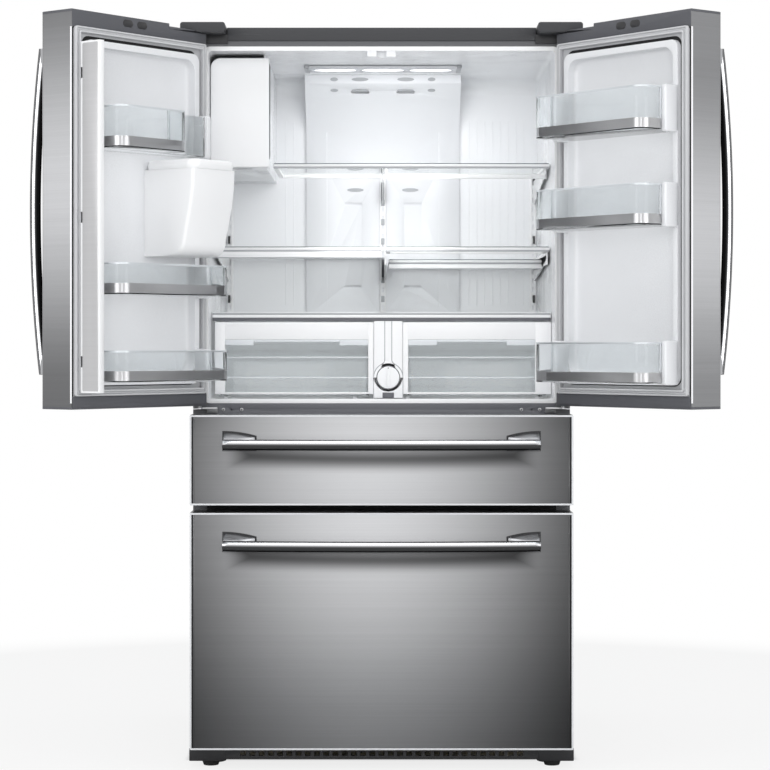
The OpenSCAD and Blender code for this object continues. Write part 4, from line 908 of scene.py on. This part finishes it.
low, high = shutBox("ice_chute", leftSwing)
finished("iceChuteHousing", chuteShapes(low, high), "whitePlastic", "left_door", "white_plastic", ["ice_chute"],
    leftSwing)
right, out = chuteCap["mouthSpot"]
mouth = Vector((low.x + right, doorInside + out, high.z - chuteCap["sunk"]))
mouthSeal = [disc(mouth, chuteCap["mouth"] + chuteCap["sealWide"], chuteCap["sealThick"], "Z", 0.0005),
    disc(mouth + Vector((0, 0, 0.0002)), chuteCap["mouth"], chuteCap["sealThick"], "Z")]
finished("iceChuteSeal", mouthSeal, "sealGrey", "left_door", "gasket_vinyl", (), leftSwing)

mullionLook = {"thick": 0.0006, "margin": 0.004, "step": 0.012, "fold": 0.010, "lugEnd": 0.070, "lugTall": 0.024,
    "lugHalf": 0.0045, "lugLong": 0.015, "lugFoot": 0.010, "barrel": 0.006, "pin": 0.003, "pinMore": 0.010}


def addMullion():
    m = mullionLook
    low, high = shutBox("mullion", leftSwing)
    finished("mullionBar", [copied("mullion", 0.0012)], "whitePlastic", "mullion", "white_plastic", ["mullion"])
    plate = slabAcross((high.x - 0.0002, low.y + m["step"], low.z + m["margin"]),
        (high.x + m["thick"], high.y - m["margin"], high.z - m["margin"]), 0.003, 0.0002, axis=0)
    finished("mullionPlate", [plate], "trimSteel", "mullion", "track_metal", (), leftSwing)
    x, y, edge = (low.x + high.x) / 2, low.y + m["fold"], doorFree - innerSheet["freeStep"]
    lugs = []
    for middle in (low.z + m["lugEnd"], (low.z + high.z) / 2, high.z - m["lugEnd"]):
        z0, z1 = middle - m["lugTall"] / 2, middle + m["lugTall"] / 2
        lugs += [brick((edge - m["lugLong"], doorInside + m["lugFoot"], z0), (edge, y + m["lugHalf"], z1)),
            brick((edge - 0.001, y - m["lugHalf"], z0), (x, y + m["lugHalf"], z1), 0.0008),
            disc((x, y, z0), m["barrel"], m["lugTall"], "Z", 0.0005),
            disc((x, y, z0 - m["pinMore"]), m["pin"], m["lugTall"] + 2 * m["pinMore"], "Z", 0.0005)]
    finished("mullionLugs", lugs, "linerWhite", "left_door", "liner_plastic", (), leftSwing)


addMullion()
print("chute and mullion done")

cavityLow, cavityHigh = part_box("fridge_liner")
wall = 0.0025                                           # thickness of the liners
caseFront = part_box("case_shell")[0].y
sideX, ceiling, backY = [edge - wall for edge in (cavityHigh.x, cavityHigh.z, cavityHigh.y)]
trackLow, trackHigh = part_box("shelf_tracks")
coverLow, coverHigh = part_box("crisper_cover")
middleTrack = 0.0035                                    # where the middle shelf track stands

# glass shelves in their frames, on the arms that carry them
shelfLook = {"rim": 0.012, "thick": 0.012, "glass": 0.004, "glassDrop": 0.0015, "noseOut": 0.005, "noseIn": 0.004,
    "topRib": 0.0085, "groove": 0.004, "edgeLine": 0.0016, "armThick": 0.003, "armDrop": 0.060, "armUnder": 0.011,
    "armStart": 0.040, "rearStart": 0.020, "rearThick": 0.004, "rearDrop": 0.050}


def noseBar(x0, x1, near, far, z0, z1):
    return slabAcross((x0, near, z0), (x1, far, z1), 0.0028, 0.0008, axis=0, steps=3)


def shelfPieces(name, body, low, high, nose, lowRib, hides, extra=()):
    # low and high are the corners of the shelf's plan, high[2] its top; nose is how far its front hangs down
    s = shelfLook
    (x0, y0), (x1, y1, top) = low[:2], high
    front, inside, mouth, foot = y0 - s["noseOut"], y0 + s["noseIn"], top - s["topRib"], top - nose

    def across(side, near, far, z0, z1, edge):
        return brick((x0 + side, front + near, z0), (x1 - side, inside - far, z1), edge)

    rim = ring((x0, y0, top - s["thick"]), (x1, y1, top), s["rim"], 0.008, 0.0012, axis=2)
    whites, greys = [rim, noseBar(x0, x1, front, inside, mouth, top - s["edgeLine"]), *extra], []
    if lowRib:
        whites += [noseBar(x0, x1, front + 0.001, inside, foot, foot + lowRib),
            across(0.001, 0.003, 0.001, foot + lowRib - 0.001, mouth - s["groove"], 0.0005)]
        greys.append(across(0.002, 0.0015, 0, foot - 0.0012, foot + 0.0006, 0.0004))
    greys.append(across(0.001, 0.0025, 0.001, mouth - s["groove"], mouth + 0.001, 0.0005))
    finished(name + "Groove", greys, "ventGrey", body, "shelf_glass")
    finished(name + "Frame", whites, "whitePlastic", body, "white_plastic", hides)
    inset, under = s["rim"] - 0.001, top - s["glassDrop"]
    glass = brick((x0 + inset, y0 + inset, under - s["glass"]), (x1 - inset, y1 - inset, under), 0.0008)
    finished(name + "Glass", [glass], "shelfGlass", body, "shelf_glass", smooth=15)
    line = across(0.002, 0.0006, 0, top - s["edgeLine"], top, 0.0004)
    finished(name + "Edge", [line], "glassEdge", body, "shelf_glass")


def armShape(x, top, y0, drop, thick):
    y1 = backY - 0.0045
    outline = [(y1, top), (y1, top - drop), (y1 - 0.030, top - drop), (y0, top - 0.012), (y0, top)]
    return prism([(x - thick / 2, y, z) for y, z in outline], (thick, 0, 0), 0.0, 0.0005)


shelfPlans = {"topRear": 0.508, "rear": 0.635, "front": 0.150, "step": 0.026, "sideStep": 0.006, "rearInset": 0.009,
    "topNose": (0.0125, 0), "leftNose": (0.027, 0.006), "halfNose": (0.0125, 0), "rearNose": (0.024, 0.0115),
    "lowBar": (0.230, 0.008, 0.0120, 0.0325)}


def addShelves():
    p, s = shelfPlans, shelfLook
    y0, rear = caseFront + p["front"], caseFront + p["rear"]
    leftX, rightX = trackLow.x + p["sideStep"], trackHigh.x - p["sideStep"]

    def arms(top, spots):
        return [armShape(x, top - s["armUnder"], y0 + s["armStart"], s["armDrop"], s["armThick"]) for x in spots]

    low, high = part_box("top_shelf")
    near, barDeep, barTall, barUnder = p["lowBar"]
    near, far, foot = caseFront + near, caseFront + near + barDeep, high.z - barUnder
    under = arms(high.z, (middleTrack, rightX))
    under.append(slabAcross((middleTrack + 0.006, near, foot), (rightX + 0.006, far, foot + barTall), 0.003,
        axis=0, steps=3))
    under += [brick((x - 0.002, near + 0.001, foot + 0.001), (x + 0.002, far - 0.001, high.z - 0.008), 0.0005)
        for x in (middleTrack + 0.008, rightX + 0.004)]
    shelfPieces("topShelf", "cabinet", (low.x, y0), (high.x, caseFront + p["topRear"], high.z), *p["topNose"],
        ["top_shelf"], under)

    low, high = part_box("left_shelf")
    under = arms(high.z, (middleTrack - 0.0045, leftX))
    shelfPieces("leftShelf", "cabinet", (low.x, y0), (high.x, rear, high.z), *p["leftNose"], ["left_shelf"], under)

    halfLow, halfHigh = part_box("half_shelf")
    shelfPieces("halfShelf", "half_shelf", (halfLow.x, y0), halfHigh, *p["halfNose"], ["half_shelf"])
    low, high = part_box("right_shelf")
    top, y0 = halfHigh.z - p["step"], y0 + s["rearStart"]
    spots = (low.x + 0.003, high.x - 0.003)
    under = [armShape(x, top + 0.006, y0, s["rearDrop"], s["rearThick"]) for x in spots]
    under += [brick((x - 0.002, y0, top - 0.018), (x + 0.002, rear - 0.010, top + 0.0135), 0.0008) for x in spots]
    shelfPieces("rightShelf", "cabinet", (halfLow.x + p["rearInset"], halfHigh.y + 0.002),
        (halfHigh.x - p["rearInset"], rear, top), *p["rearNose"], ["right_shelf"], under)


addShelves()
print("shelves done")

# the glass cover over the crispers, and the crispers with their windows
crisperTop = {"drop": 0.011, "trimFoot": 0.007, "trimTop": 0.015, "near": 0.003, "thick": 0.010,
    "bar": (-0.012, 0.030)}
crisperLook = {"leftWindow": (-0.384, -0.033), "rightWindow": (0.066, 0.3775), "windowFoot": 0.011,
    "windowTop": 0.043, "thick": 0.010, "pane": 0.003, "ribs": (0.975, 0.925), "ribTall": 0.003, "lip": 0.014,
    "lipWide": 0.070, "wall": 0.003, "foot": 0.006, "tubInset": 0.012, "tubUnder": 0.004}


def addCover():
    c, (x0, y0, base), (x1, y1, top) = crisperTop, coverLow, coverHigh
    top -= c["drop"]
    near, under, (left, right) = y0 + c["near"], top - c["thick"], c["bar"]
    trimFoot, trimTop = base + c["trimFoot"], base + c["trimTop"]
    rail = ring((x0, near, under), (x1, y1, top), 0.014, 0.004, axis=2)
    bar = brick((left, near, under), (right, y1, top))
    trim = slabAcross((x0, y0, trimFoot), (x1, y0 + 0.007, trimTop), 0.003, axis=0, steps=3)
    finished("crisperCoverFrame", [rail, bar, trim], "whitePlastic", "cabinet", "white_plastic", ["crisper_cover"])
    line = brick((x0 + 0.001, y0 + 0.0008, base), (x1 - 0.001, y0 + 0.006, trimFoot + 0.001), 0.0005)
    finished("crisperCoverShadow", [line], "railGrey", "cabinet", "dark_rail")
    lip = brick((x0 + 0.001, y0 + 0.001, trimTop - 0.001), (x1 - 0.001, y0 + 0.008, top - 0.0012))
    finished("crisperCoverLip", [lip], "ventGrey", "cabinet", "white_plastic")
    panes = [brick((a, y0 + 0.016, top - 0.006), (b, y1 - 0.013, top - 0.002), 0.0008)
        for a, b in ((x0 + 0.013, left + 0.001), (right - 0.001, x1 - 0.013))]
    finished("crisperCoverGlass", panes, "shelfGlass", "cabinet", "shelf_glass", smooth=15)


def addCrisper(side):
    c, body = crisperLook, side + "_crisper"
    (x0, front, base), (x1, rear, top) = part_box(body)
    w0, w1 = c[side + "Window"]
    foot, inside = base + c["foot"], front + c["thick"]
    paneFoot, paneTop = base + c["windowFoot"], top - c["windowTop"]
    faces = [brick((a, front, z0), (b, inside, z1), 0.0015) for a, b, z0, z1 in ((x0, w0, foot, top),
        (w1, x1, foot, top), (w0 - 0.001, w1 + 0.001, foot, paneFoot), (w0 - 0.001, w1 + 0.001, paneTop, top))]
    finished(side + "CrisperFront", faces, "whitePlastic", body, "white_plastic", [body])
    pane = brick((w0 - 0.0005, front + 0.003, paneFoot - 0.0005),
        (w1 + 0.0005, front + 0.003 + c["pane"], paneTop + 0.0005), 0.0006)
    tubTop, inset = top - c["tubUnder"], c["tubInset"]
    tub = slabAcross((x0 + inset, inside + 0.0003, base), (x1 - inset, rear, tubTop), 0.012, 0.0, axis=2)
    lid = max(tub.faces, key=lambda f: f.calc_center_median().z)
    sunk(tub, lid, c["wall"], (0, 0, -(tubTop - base - c["wall"])))
    finished(side + "CrisperTub", [pane, tub], "clearPlastic", body, "clear_plastic")
    lipTop, wide = paneTop - c["lip"], c["lipWide"]
    lips = [brick((a, front + near, z0), (b, front + 0.007, paneTop)) for a, b, near, z0 in (
        (w0, w0 + wide, -0.0004, lipTop), (w1 - wide, w1, -0.0004, lipTop),
        (w0 + wide - 0.001, w1 - wide + 0.001, 0.001, paneTop - 0.006))]
    lips += [brick((w0, front + 0.0018, z), (w1, front + 0.004, z + c["ribTall"]), 0.0006) for z in c["ribs"]]
    finished(side + "CrisperLip", lips, "frosted", body, "clear_plastic")


addCover()
addCrisper("left")
addCrisper("right")

filterLook = {"bowl": 0.0350, "neck": 0.0075, "outline": 0.0022, "plate": 0.003, "grip": 0.004, "gripTall": 0.022,
    "gripDeep": 0.0075, "ringGap": 0.0012, "tabHalf": 0.014, "tabTall": 0.013, "step": 0.0006, "blend": 0.014,
    "front": 0.1095, "capDeep": 0.036}


def addFilter():
    f = filterLook
    low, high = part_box("filter_knob")
    middle = (low + high) / 2
    x, z = middle.x, middle.z
    radius, front = (high.z - low.z) / 2, caseFront + f["front"]
    foot, top = cavityLow.z + wall + 0.002, coverLow.z - 0.0005

    def column(more, y0, y1):
        # the bowl round the knob, the neck that flares out of it, and the leg below
        rise = math.sqrt((f["bowl"] + f["blend"]) ** 2 - (f["neck"] + f["blend"]) ** 2)
        flare = f["blend"] - more
        curve = [(f["neck"] + f["blend"] - flare * math.cos(a), z + rise - flare * math.sin(a))
            for a in [math.radians(9 * i) for i in range(8)]]
        side = [(f["neck"] + more, top), *curve, (f["bowl"] * 0.7, z)]
        outline = [(x + a, y0, b) for a, b in side] + [(x - a, y0, b) for a, b in reversed(side)]
        wide = f["bowl"] + more
        return [disc((x, y0, z), wide, y1 - y0, "Y", 0.0003, 64), prism(outline, (0, y1 - y0, 0)),
            brick((x - wide, y0, foot), (x + wide, y1, z), 0.0003)]

    panel = brick((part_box("left_crisper")[1].x + 0.001, front + 2 * f["step"], foot),
        (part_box("right_crisper")[0].x - 0.001, front + f["plate"] + 0.001, top), 0.0003)
    plate = [*column(0, front, front + f["plate"]), panel]
    finished("filterColumn", plate, "whitePlastic", "cabinet", "white_plastic", ["filter_housing"])
    gap = column(f["outline"], front + f["step"], front + f["plate"])
    finished("filterColumnGap", gap, "ventGrey", "cabinet", "dark_rail")
    finished("filterSleeve", [copied("filter_housing", 0.0008)], "whitePlastic", "cabinet", "white_plastic")
    seat = disc((x, front - 0.0003, z), radius + f["ringGap"], 0.002)
    wide = f["tabHalf"]
    tab = brick((x - wide, front - 0.0008, foot), (x + wide, front + 0.001, foot + f["tabTall"]), 0.0004)
    finished("filterSeat", [seat, tab], "railGrey", "cabinet", "dark_rail")
    knob = disc((x, low.y + 0.006, z), radius - 0.0006, f["capDeep"], "Y", 0.002, 64)
    wide, tall = f["grip"], f["gripTall"]
    grip = slabAcross((x - wide, low.y, z - tall), (x + wide, low.y + f["gripDeep"], z + tall), 0.003, 0.0015)
    finished("filterKnobCap", [knob, grip], "whitePlastic", "filter_knob", "white_plastic", ["filter_knob"])
    dot = disc((x, low.y + 0.0055, z + radius - 0.005), 0.0012, 0.001)
    finished("filterKnobMark", [dot], "glossBlack", "filter_knob", "dark_rail")


addFilter()
print("crispers and filter done")

# the front of the ice bucket, and a black ring behind it painted as the shade in the gap round it
iceLook = {"corner": 0.024, "edge": 0.003, "thick": 0.017, "more": (0.0004, 0.002, 0.004), "shadeLow": (0.0015, 0.004),
    "shadeHigh": (0.002, 0.006), "shadeDeep": (0.0175, 0.0195)}


def addIceFront():
    s = iceLook
    low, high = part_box("ice_bucket")
    side, under, over = s["more"]
    x0, z0, z1 = low.x - side, low.z - under, high.z + over
    front = prism([(x, low.y, z) for x, z in ((x0, z0), (high.x, z0), (high.x, z1), (x0, z1))], (0, s["thick"], 0))
    upper = [e for e in sharpEdges(front) if along(e, (0, 1, 0)) and e.verts[0].co.x < low.x + 0.01
        and e.verts[0].co.z > high.z]
    bevelled(front, upper, s["corner"], 8)
    bevelled(front, sharpEdges(front, 50), s["edge"], 3)
    finished("iceFront", [front], "whitePlastic", "ice_bucket", "white_plastic", ["ice_bucket"])
    tub = copied("ice_bucket", 0.0006)
    cutThrough(tub, (0, low.y + s["thick"] - 0.0005, 0), (0, -1, 0), True)
    bmesh.ops.holes_fill(tub, edges=tub.edges)
    finished("iceTub", [tub], "frosted", "ice_bucket", "white_plastic")
    # a black ring behind the front: painted shade in the gap round it
    (left, foot), (right, top), (near, far) = s["shadeLow"], s["shadeHigh"], s["shadeDeep"]
    seal = ring((low.x - left, low.y + near, low.z + foot), (high.x + right, low.y + far, high.z + top), 0.012, 0.022,
        0.0004)
    finished("iceGapShade", [seal], "glossBlack", "cabinet", "gasket_vinyl")


lightLook = {"deep": (0.296, 0.412), "tall": 0.006, "cap": 0.012, "capMore": 0.003, "lens": (0.052, 0.016),
    "pitch": 0.122, "bezel": 1.14, "lensDrop": 0.0012, "bezelDrop": 0.0006}


def addCeilingLight():
    s = lightLook
    low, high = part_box("ceiling_light")
    y0, y1 = [caseFront + deep for deep in s["deep"]]
    under, over = ceiling - s["tall"], ceiling - 0.0003
    bar = slabAcross((low.x + 0.004, y0, under), (high.x - 0.004, y1, over), 0.012, 0.002, axis=2)
    finished("lightBar", [bar], "trackSteel", "cabinet", "lens", ["ceiling_light"])
    caps = [slabAcross((x, y0 - s["capMore"], under - 0.0015), (x + s["cap"], y1 + s["capMore"], over), 0.004, axis=2)
        for x in (low.x, high.x - s["cap"])]
    finished("lightCaps", caps, "ventGrey", "cabinet", "lens")
    wide, deep = s["lens"]
    middle = (low.x + high.x) / 2
    places = [Matrix.Translation((middle + step * s["pitch"], (y0 + y1) / 2, under)) for step in (-1, 0, 1)]
    for name, look, more, drop in (("lightLenses", "lampGlow", 1, s["lensDrop"]),
            ("lightBezels", "frosted", s["bezel"], s["bezelDrop"])):
        ovals = [oval(place, wide * more, deep * more, drop, drop + 0.001, 48) for place in places]
        finished(name, ovals, look, "cabinet", "lens")


ventLook = {"cove": 0.040, "wide": 0.044, "tall": 0.00975, "small": 0.020, "rows": (0.012, 0.038),
    "spots": (-0.060, 0.060), "smallSpots": (-0.128, 0.128), "lowRow": 1.422, "lowSpots": (-0.0735, 0.0735),
    "ribStart": 0.235, "ribPitch": 0.021, "ribEnd": 0.26, "seamInset": 0.055}
trackLook = {"sideSlots": (1.130, 1.2885, 1.445), "slot": (0.003, 0.0105), "pitch": 0.0515,
    "window": (0.00475, 0.0085), "spine": 0.0106}


def addCove():
    # the rounded corner where the ceiling meets the back wall
    reach, out = ventLook["cove"], 0.0005
    bend = [(backY - reach + reach * math.sin(a), ceiling - reach + reach * math.cos(a))
        for a in [math.radians(15 * i) for i in range(7)]]
    bend += [(backY + out, ceiling - reach), (backY + out, ceiling + out), (backY - reach, ceiling + out)]
    finished("linerCove", [prism([(-sideX, y, z) for y, z in bend], (2 * sideX, 0, 0))], "linerWhite", "cabinet",
        "liner_plastic")


def addDuct():
    v = ventLook
    finished("ductPanel", [copied("duct_cover", 0.002)], "ductWhite", "cabinet", "duct_plastic", ["duct_cover"])
    low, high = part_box("duct_cover")
    middle = (low.x + high.x) / 2
    # louvres stand just proud of the sloping head, and of the column below it
    vents = [(x, ceiling - row, wide) for row in v["rows"]
        for spots, wide in ((v["spots"], v["wide"]), (v["smallSpots"], v["small"])) for x in spots]
    vents += [(x, v["lowRow"], v["wide"]) for x in v["lowSpots"]]
    panel = copied("duct_cover")
    surface = BVHTree.FromBMesh(panel)
    panel.free()
    cups = []
    for x, z, wide in vents:
        spot, normal = surface.ray_cast((middle + x, low.y - 0.05, z), (0, 1, 0))[:2]
        place = Matrix.Translation(spot) @ normal.to_track_quat("Z", "Y").to_matrix().to_4x4()
        cups.append(oval(place, wide / 2, v["tall"] / 2, 0.0012, 0.003, 32))
    finished("ductVents", cups, "ventGrey", "cabinet", "duct_plastic")
    foot, top = coverHigh.z + 0.01, ceiling - 0.14
    seams = [brick((x - 0.0008, backY - 0.0125, foot), (x + 0.0008, backY - 0.0118, top), 0.0002)
        for x in (low.x + v["seamInset"], high.x - v["seamInset"])]
    foot, top = coverHigh.z + 0.015, ceiling - 0.11
    spots = [side * (v["ribStart"] + i * v["ribPitch"]) for side in (-1, 1) for i in range(8)]
    ribs = [brick((x - 0.0012, backY - 0.0008, foot), (x + 0.0012, backY + 0.0005, top), 0.0004)
        for x in spots if x > -v["ribEnd"]]
    finished("linerRibs", seams + ribs, "linerWhite", "cabinet", "liner_plastic")


def addTracks():
    t, x, proud = trackLook, middleTrack, trackLow.y - 0.0005
    finished("tracks", [copied("shelf_tracks", 0.0004)], "whitePlastic", "cabinet", "track_metal", ["shelf_tracks"])
    shelfTop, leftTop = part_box("top_shelf")[1].z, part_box("left_shelf")[1].z
    wide, tall = t["slot"]
    # black boxes in the side tracks' slots: painted shade inside the slots
    slots = [brick((a - wide, trackHigh.y - 0.0095, z - tall), (a + wide, trackHigh.y - 0.005, z + tall), 0.0008)
        for a in (trackLow.x + 0.006, trackHigh.x - 0.006) for z in t["sideSlots"]
        if z < shelfTop - 0.004 and (a > 0 or z < 1.4)]
    finished("trackSlotShade", slots, "glossBlack", "cabinet", "dark_rail")
    wide, tall = t["window"]
    windows = [brick((x - wide, trackLow.y - 0.0004, z - tall), (x + wide, trackLow.y + 0.002, z + tall), 0.0008)
        for z in [t["sideSlots"][0] + i * t["pitch"] for i in range(6)]]
    finished("trackWindows", windows, "ventGrey", "cabinet", "dark_rail")
    hooks = [brick((x - 0.004, trackLow.y - 0.010, z - 0.062), (x + 0.003, trackLow.y + 0.001, z - 0.014))
        for z in (shelfTop, leftTop)]
    finished("trackHooks", hooks, "railGrey", "cabinet", "dark_rail")
    sides = [brick((a - 0.0006, proud, coverHigh.z), (a + 0.0006, backY, shelfTop - 0.02), 0.0003)
        for a in (x - t["spine"], x + t["spine"])]
    finished("trackEdges", sides, "ventGrey", "cabinet", "liner_plastic")


linerLip = {"wide": 0.0105, "side": 0.010, "under": 0.006, "over": 0.010, "proud": 0.0004}


def addLip():
    # a thin lip round the mouth of the liner
    s = linerLip
    lip = ring((-sideX - s["side"], caseFront - s["proud"], cavityLow.z - s["under"]),
        (sideX + s["side"], caseFront, ceiling + s["over"]), s["wide"], 0.014, 0.0003)
    finished("linerLip", [lip], "whitePlastic", "cabinet", "liner_plastic")


addIceFront()
addCeilingLight()
addCove()
addDuct()
addTracks()
finished("iceHousingShell", [copied("ice_housing", 0.0015)], "linerWhite", "cabinet", "white_plastic",
    ["ice_housing"])
addLip()
print("ice compartment, light, duct and tracks done")

# hinge covers, door caps, screws and feet
coverLook = {"out": 0.028, "wide": 0.079, "tall": 0.0245, "corner": 0.006, "shroud": (0.370, 0.450), "proud": 0.008,
    "shroudTop": 0.024, "shroudTall": 0.022}
capLook = {"step": 0.128, "down": 0.013, "lean": 0.0012, "plug": (0.016, 0.0085), "plugDrop": 0.015,
    "plugThick": 0.0008, "plugX": (0.221, 0.268)}
screwLook = {"x": (0.337, 0.381), "z": 0.851, "radius": 0.0042, "out": 0.0016, "slot": (0.6, 0.14)}
footLook = {"bracketX": (0.374, 0.4585), "bracketZ": (0.015, 0.046), "proud": 0.0615, "x": 0.409, "y": 0.0215,
    "radius": 0.024, "narrow": 0.75, "tall": 0.018}
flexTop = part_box("flex_front")[1].z


def addScrews():
    # the screws of the middle rail, each with a cross in its head painted black as the shade in its recess
    s = screwLook
    heads, drives = [], []
    long, short = [s["radius"] * share for share in s["slot"]]
    for side in (-1, 1):
        for x in s["x"]:
            spot = Vector((side * x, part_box("cross_rails")[0].y - s["out"], s["z"]))
            heads.append(disc(spot, s["radius"], s["out"] + 0.001, "Y", 0.0006, 24))
            for a, b in ((long, short), (short, long)):
                size, middle = Vector((a, 0.0002, b)), spot - Vector((0, 0.0002, 0))
                drives.append(brick(middle - size, middle + size, 0))
    finished("railScrews", heads, "trimSteel", "cabinet", "hinge_steel")
    finished("railScrewsDriveShade", drives, "glossBlack", "cabinet", "hinge_steel")


def addCaseTrims():
    for node, name, soft, look, slot in (("lower_hinges", "lowerHinges", 0.0008, "trimSteel", "hinge_steel"),
            ("upper_hinges", "upperHinges", 0.0008, "blackSteel", "hinge_steel"),
            ("toe_grille", "toeGrille", 0.0015, "blackPlastic", "black_plastic"),
            ("front_feet", "feet", 0.002, "footRubber", "foot_rubber")):
        finished(name, [copied(node, soft)], look, "cabinet", slot, [node])
    # the upper rail keeps its grey; the rail seen in the gap between the drawers is painted black as shade
    for name, look, upper in (("middleRail", "railGrey", True), ("drawerRail", "gapBlack", False)):
        rail = copied("cross_rails", 0.001, lambda low, high: (low.z > flexTop - 0.02) == upper)
        finished(name, [rail], look, "cabinet", "dark_rail", ["cross_rails"])


def onSide(side, xs, ys, zs):
    # the corners of a box whose x range is given for the right side
    x0, x1 = sorted(side * x for x in xs)
    return (x0, ys[0], zs[0]), (x1, ys[1], zs[1])


def addTopCovers():
    # a long cover over the case's front, and a block and a shroud at each hinge; the black shroud is the hinge's body
    # and also the painted shade under the cover
    c = coverLook
    low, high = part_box("top_covers")
    boxes = [copied("top_covers", 0.003, lambda low, high: low.x < 0 < high.x)]
    boxes += [slabAcross(*onSide(side, (high.x + c["out"], high.x - c["wide"]), (low.y - 0.001, high.y),
        (high.z - c["tall"], high.z)), c["corner"], 0.0015) for side in (-1, 1)]
    finished("topCovers", boxes, "coverGrey", "cabinet", "black_plastic", ["top_covers"])
    top = high.z - c["shroudTop"]
    deep, tall = (caseFront - c["proud"], caseFront + 0.001), (top - c["shroudTall"], top)
    shrouds = [brick(*onSide(side, c["shroud"], deep, tall)) for side in (-1, 1)]
    finished("hingeShrouds", shrouds, "blackPlastic", "cabinet", "black_plastic")


def addFootBlocks():
    # a bracket at each front corner, with its levelling foot
    f = footLook
    y = caseFront - f["y"]
    blocks, feet = [], []
    for side in (-1, 1):
        deep = (caseFront - f["proud"], caseFront - 0.001)
        blocks.append(slabAcross(*onSide(side, f["bracketX"], deep, f["bracketZ"]), 0.002))
        x = side * f["x"]
        foot = disc((x, y, 0), f["radius"], f["tall"], "Z", 0.001)
        for vert in foot.verts:
            if vert.co.z < 0.004:
                vert.co.x = x + (vert.co.x - x) * f["narrow"]
                vert.co.y = y + (vert.co.y - y) * f["narrow"]
        feet.append(foot)
    finished("footBrackets", blocks, "blackPlastic", "cabinet", "black_plastic")
    finished("footPads", feet, "footRubber", "cabinet", "foot_rubber")


def addDoorCaps(side, place):
    # the top cap steps down to the door's skin beside the hinge and carries two plugs
    c = capLook
    step = doorHinge + c["step"]
    shape = copied(side + "_caps")
    shape.transform(place.inverted())
    for x in (step, step + 0.001):
        cutThrough(shape, (x, 0, 0), (1, 0, 0))
    for spot in [vert.co for vert in shape.verts if vert.co.x < step + 0.0005]:
        if spot.z > doorTop - 0.001:
            spot.z -= c["down"]
        if spot.z > doorTop - 0.045 and spot.y < doorFront + 0.001:
            spot.y += c["lean"]
    bevelled(shape, sharpEdges(shape, 50), 0.001, 2)
    finished(side + "DoorCaps", [shape], "capGrey", side + "_door", "door_cap", [side + "_caps"], place)
    wide, tall = c["plug"]
    near, far, z = doorInside, doorInside + c["plugThick"], doorTop - c["plugDrop"]
    plugs = [slabAcross((x - wide, near, z - tall), (x + wide, far, z + tall), tall * 0.96, 0.0003)
        for x in [doorHinge + offset for offset in c["plugX"]]]
    finished(side + "CapPlugs", plugs, "blackPlastic", side + "_door", "door_cap", (), place)


addScrews()
addCaseTrims()
addTopCovers()
addFootBlocks()
for side, place in doorPlace.items():
    addDoorCaps(side, place)
print("rails, hinges and covers done")

# the painted highlight rim and the painted dark lines of a drawer front
highlightRimLook = {"wide": 0.0042, "line": 0.0024, "proud": 0.0005, "lineProud": 0.0003, "side": 0.0002, "deep": 0.002}


def addDrawer(drawer):
    r, body, front = highlightRimLook, drawer + "_drawer", drawer + "_front"
    low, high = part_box(front)
    face = low.y
    shell = copied(front, 0, lambda low, high: low.y < face + 0.001)
    bevelled(shell, [e for e in sharpEdges(shell) if all(v.co.y < face + 1e-4 for v in e.verts)], 0.0008, 2)
    finished(drawer + "Pan", [shell], drawer + "Steel", body, "brushed_stainless", [front])
    side, wide = r["side"], r["wide"]
    rim = ring((low.x - side, face - r["proud"], low.z), (high.x + side, face + r["deep"], high.z), wide, 0.002,
        0.0004)
    finished(drawer + "Rim", [rim], "rimSteel", body, "brushed_stainless")
    # painted dark lines just inside the rim at the two sides
    lines = [brick((x, face - r["lineProud"], low.z + wide), (x + r["line"], face + 0.001, high.z - wide), 0)
        for x in (low.x + wide, high.x - wide - r["line"])]
    finished(drawer + "Lines", lines, "gapBlack", body, "brushed_stainless")
    inner = copied(front, 0.0012, lambda low, high: low.y > face + 0.001)
    finished(drawer + "Inner", [inner], "linerWhite", body, "liner_plastic")
    seal = sealShapes(*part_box(drawer + "_gasket"))
    finished(drawer + "Seal", seal, "sealGrey", body, "gasket_vinyl", [drawer + "_gasket"])
    finished(drawer + "Basket", [copied(drawer + "_basket", 0.001)], "frosted", body, "clear_plastic",
        [drawer + "_basket"])


addDrawer("flex")
addDrawer("freezer")
finished("freezerTray", [copied("freezer_tray", 0.001)], "frosted", "freezer_tray", "clear_plastic", ["freezer_tray"])
print("drawers done")

print("pieces done")
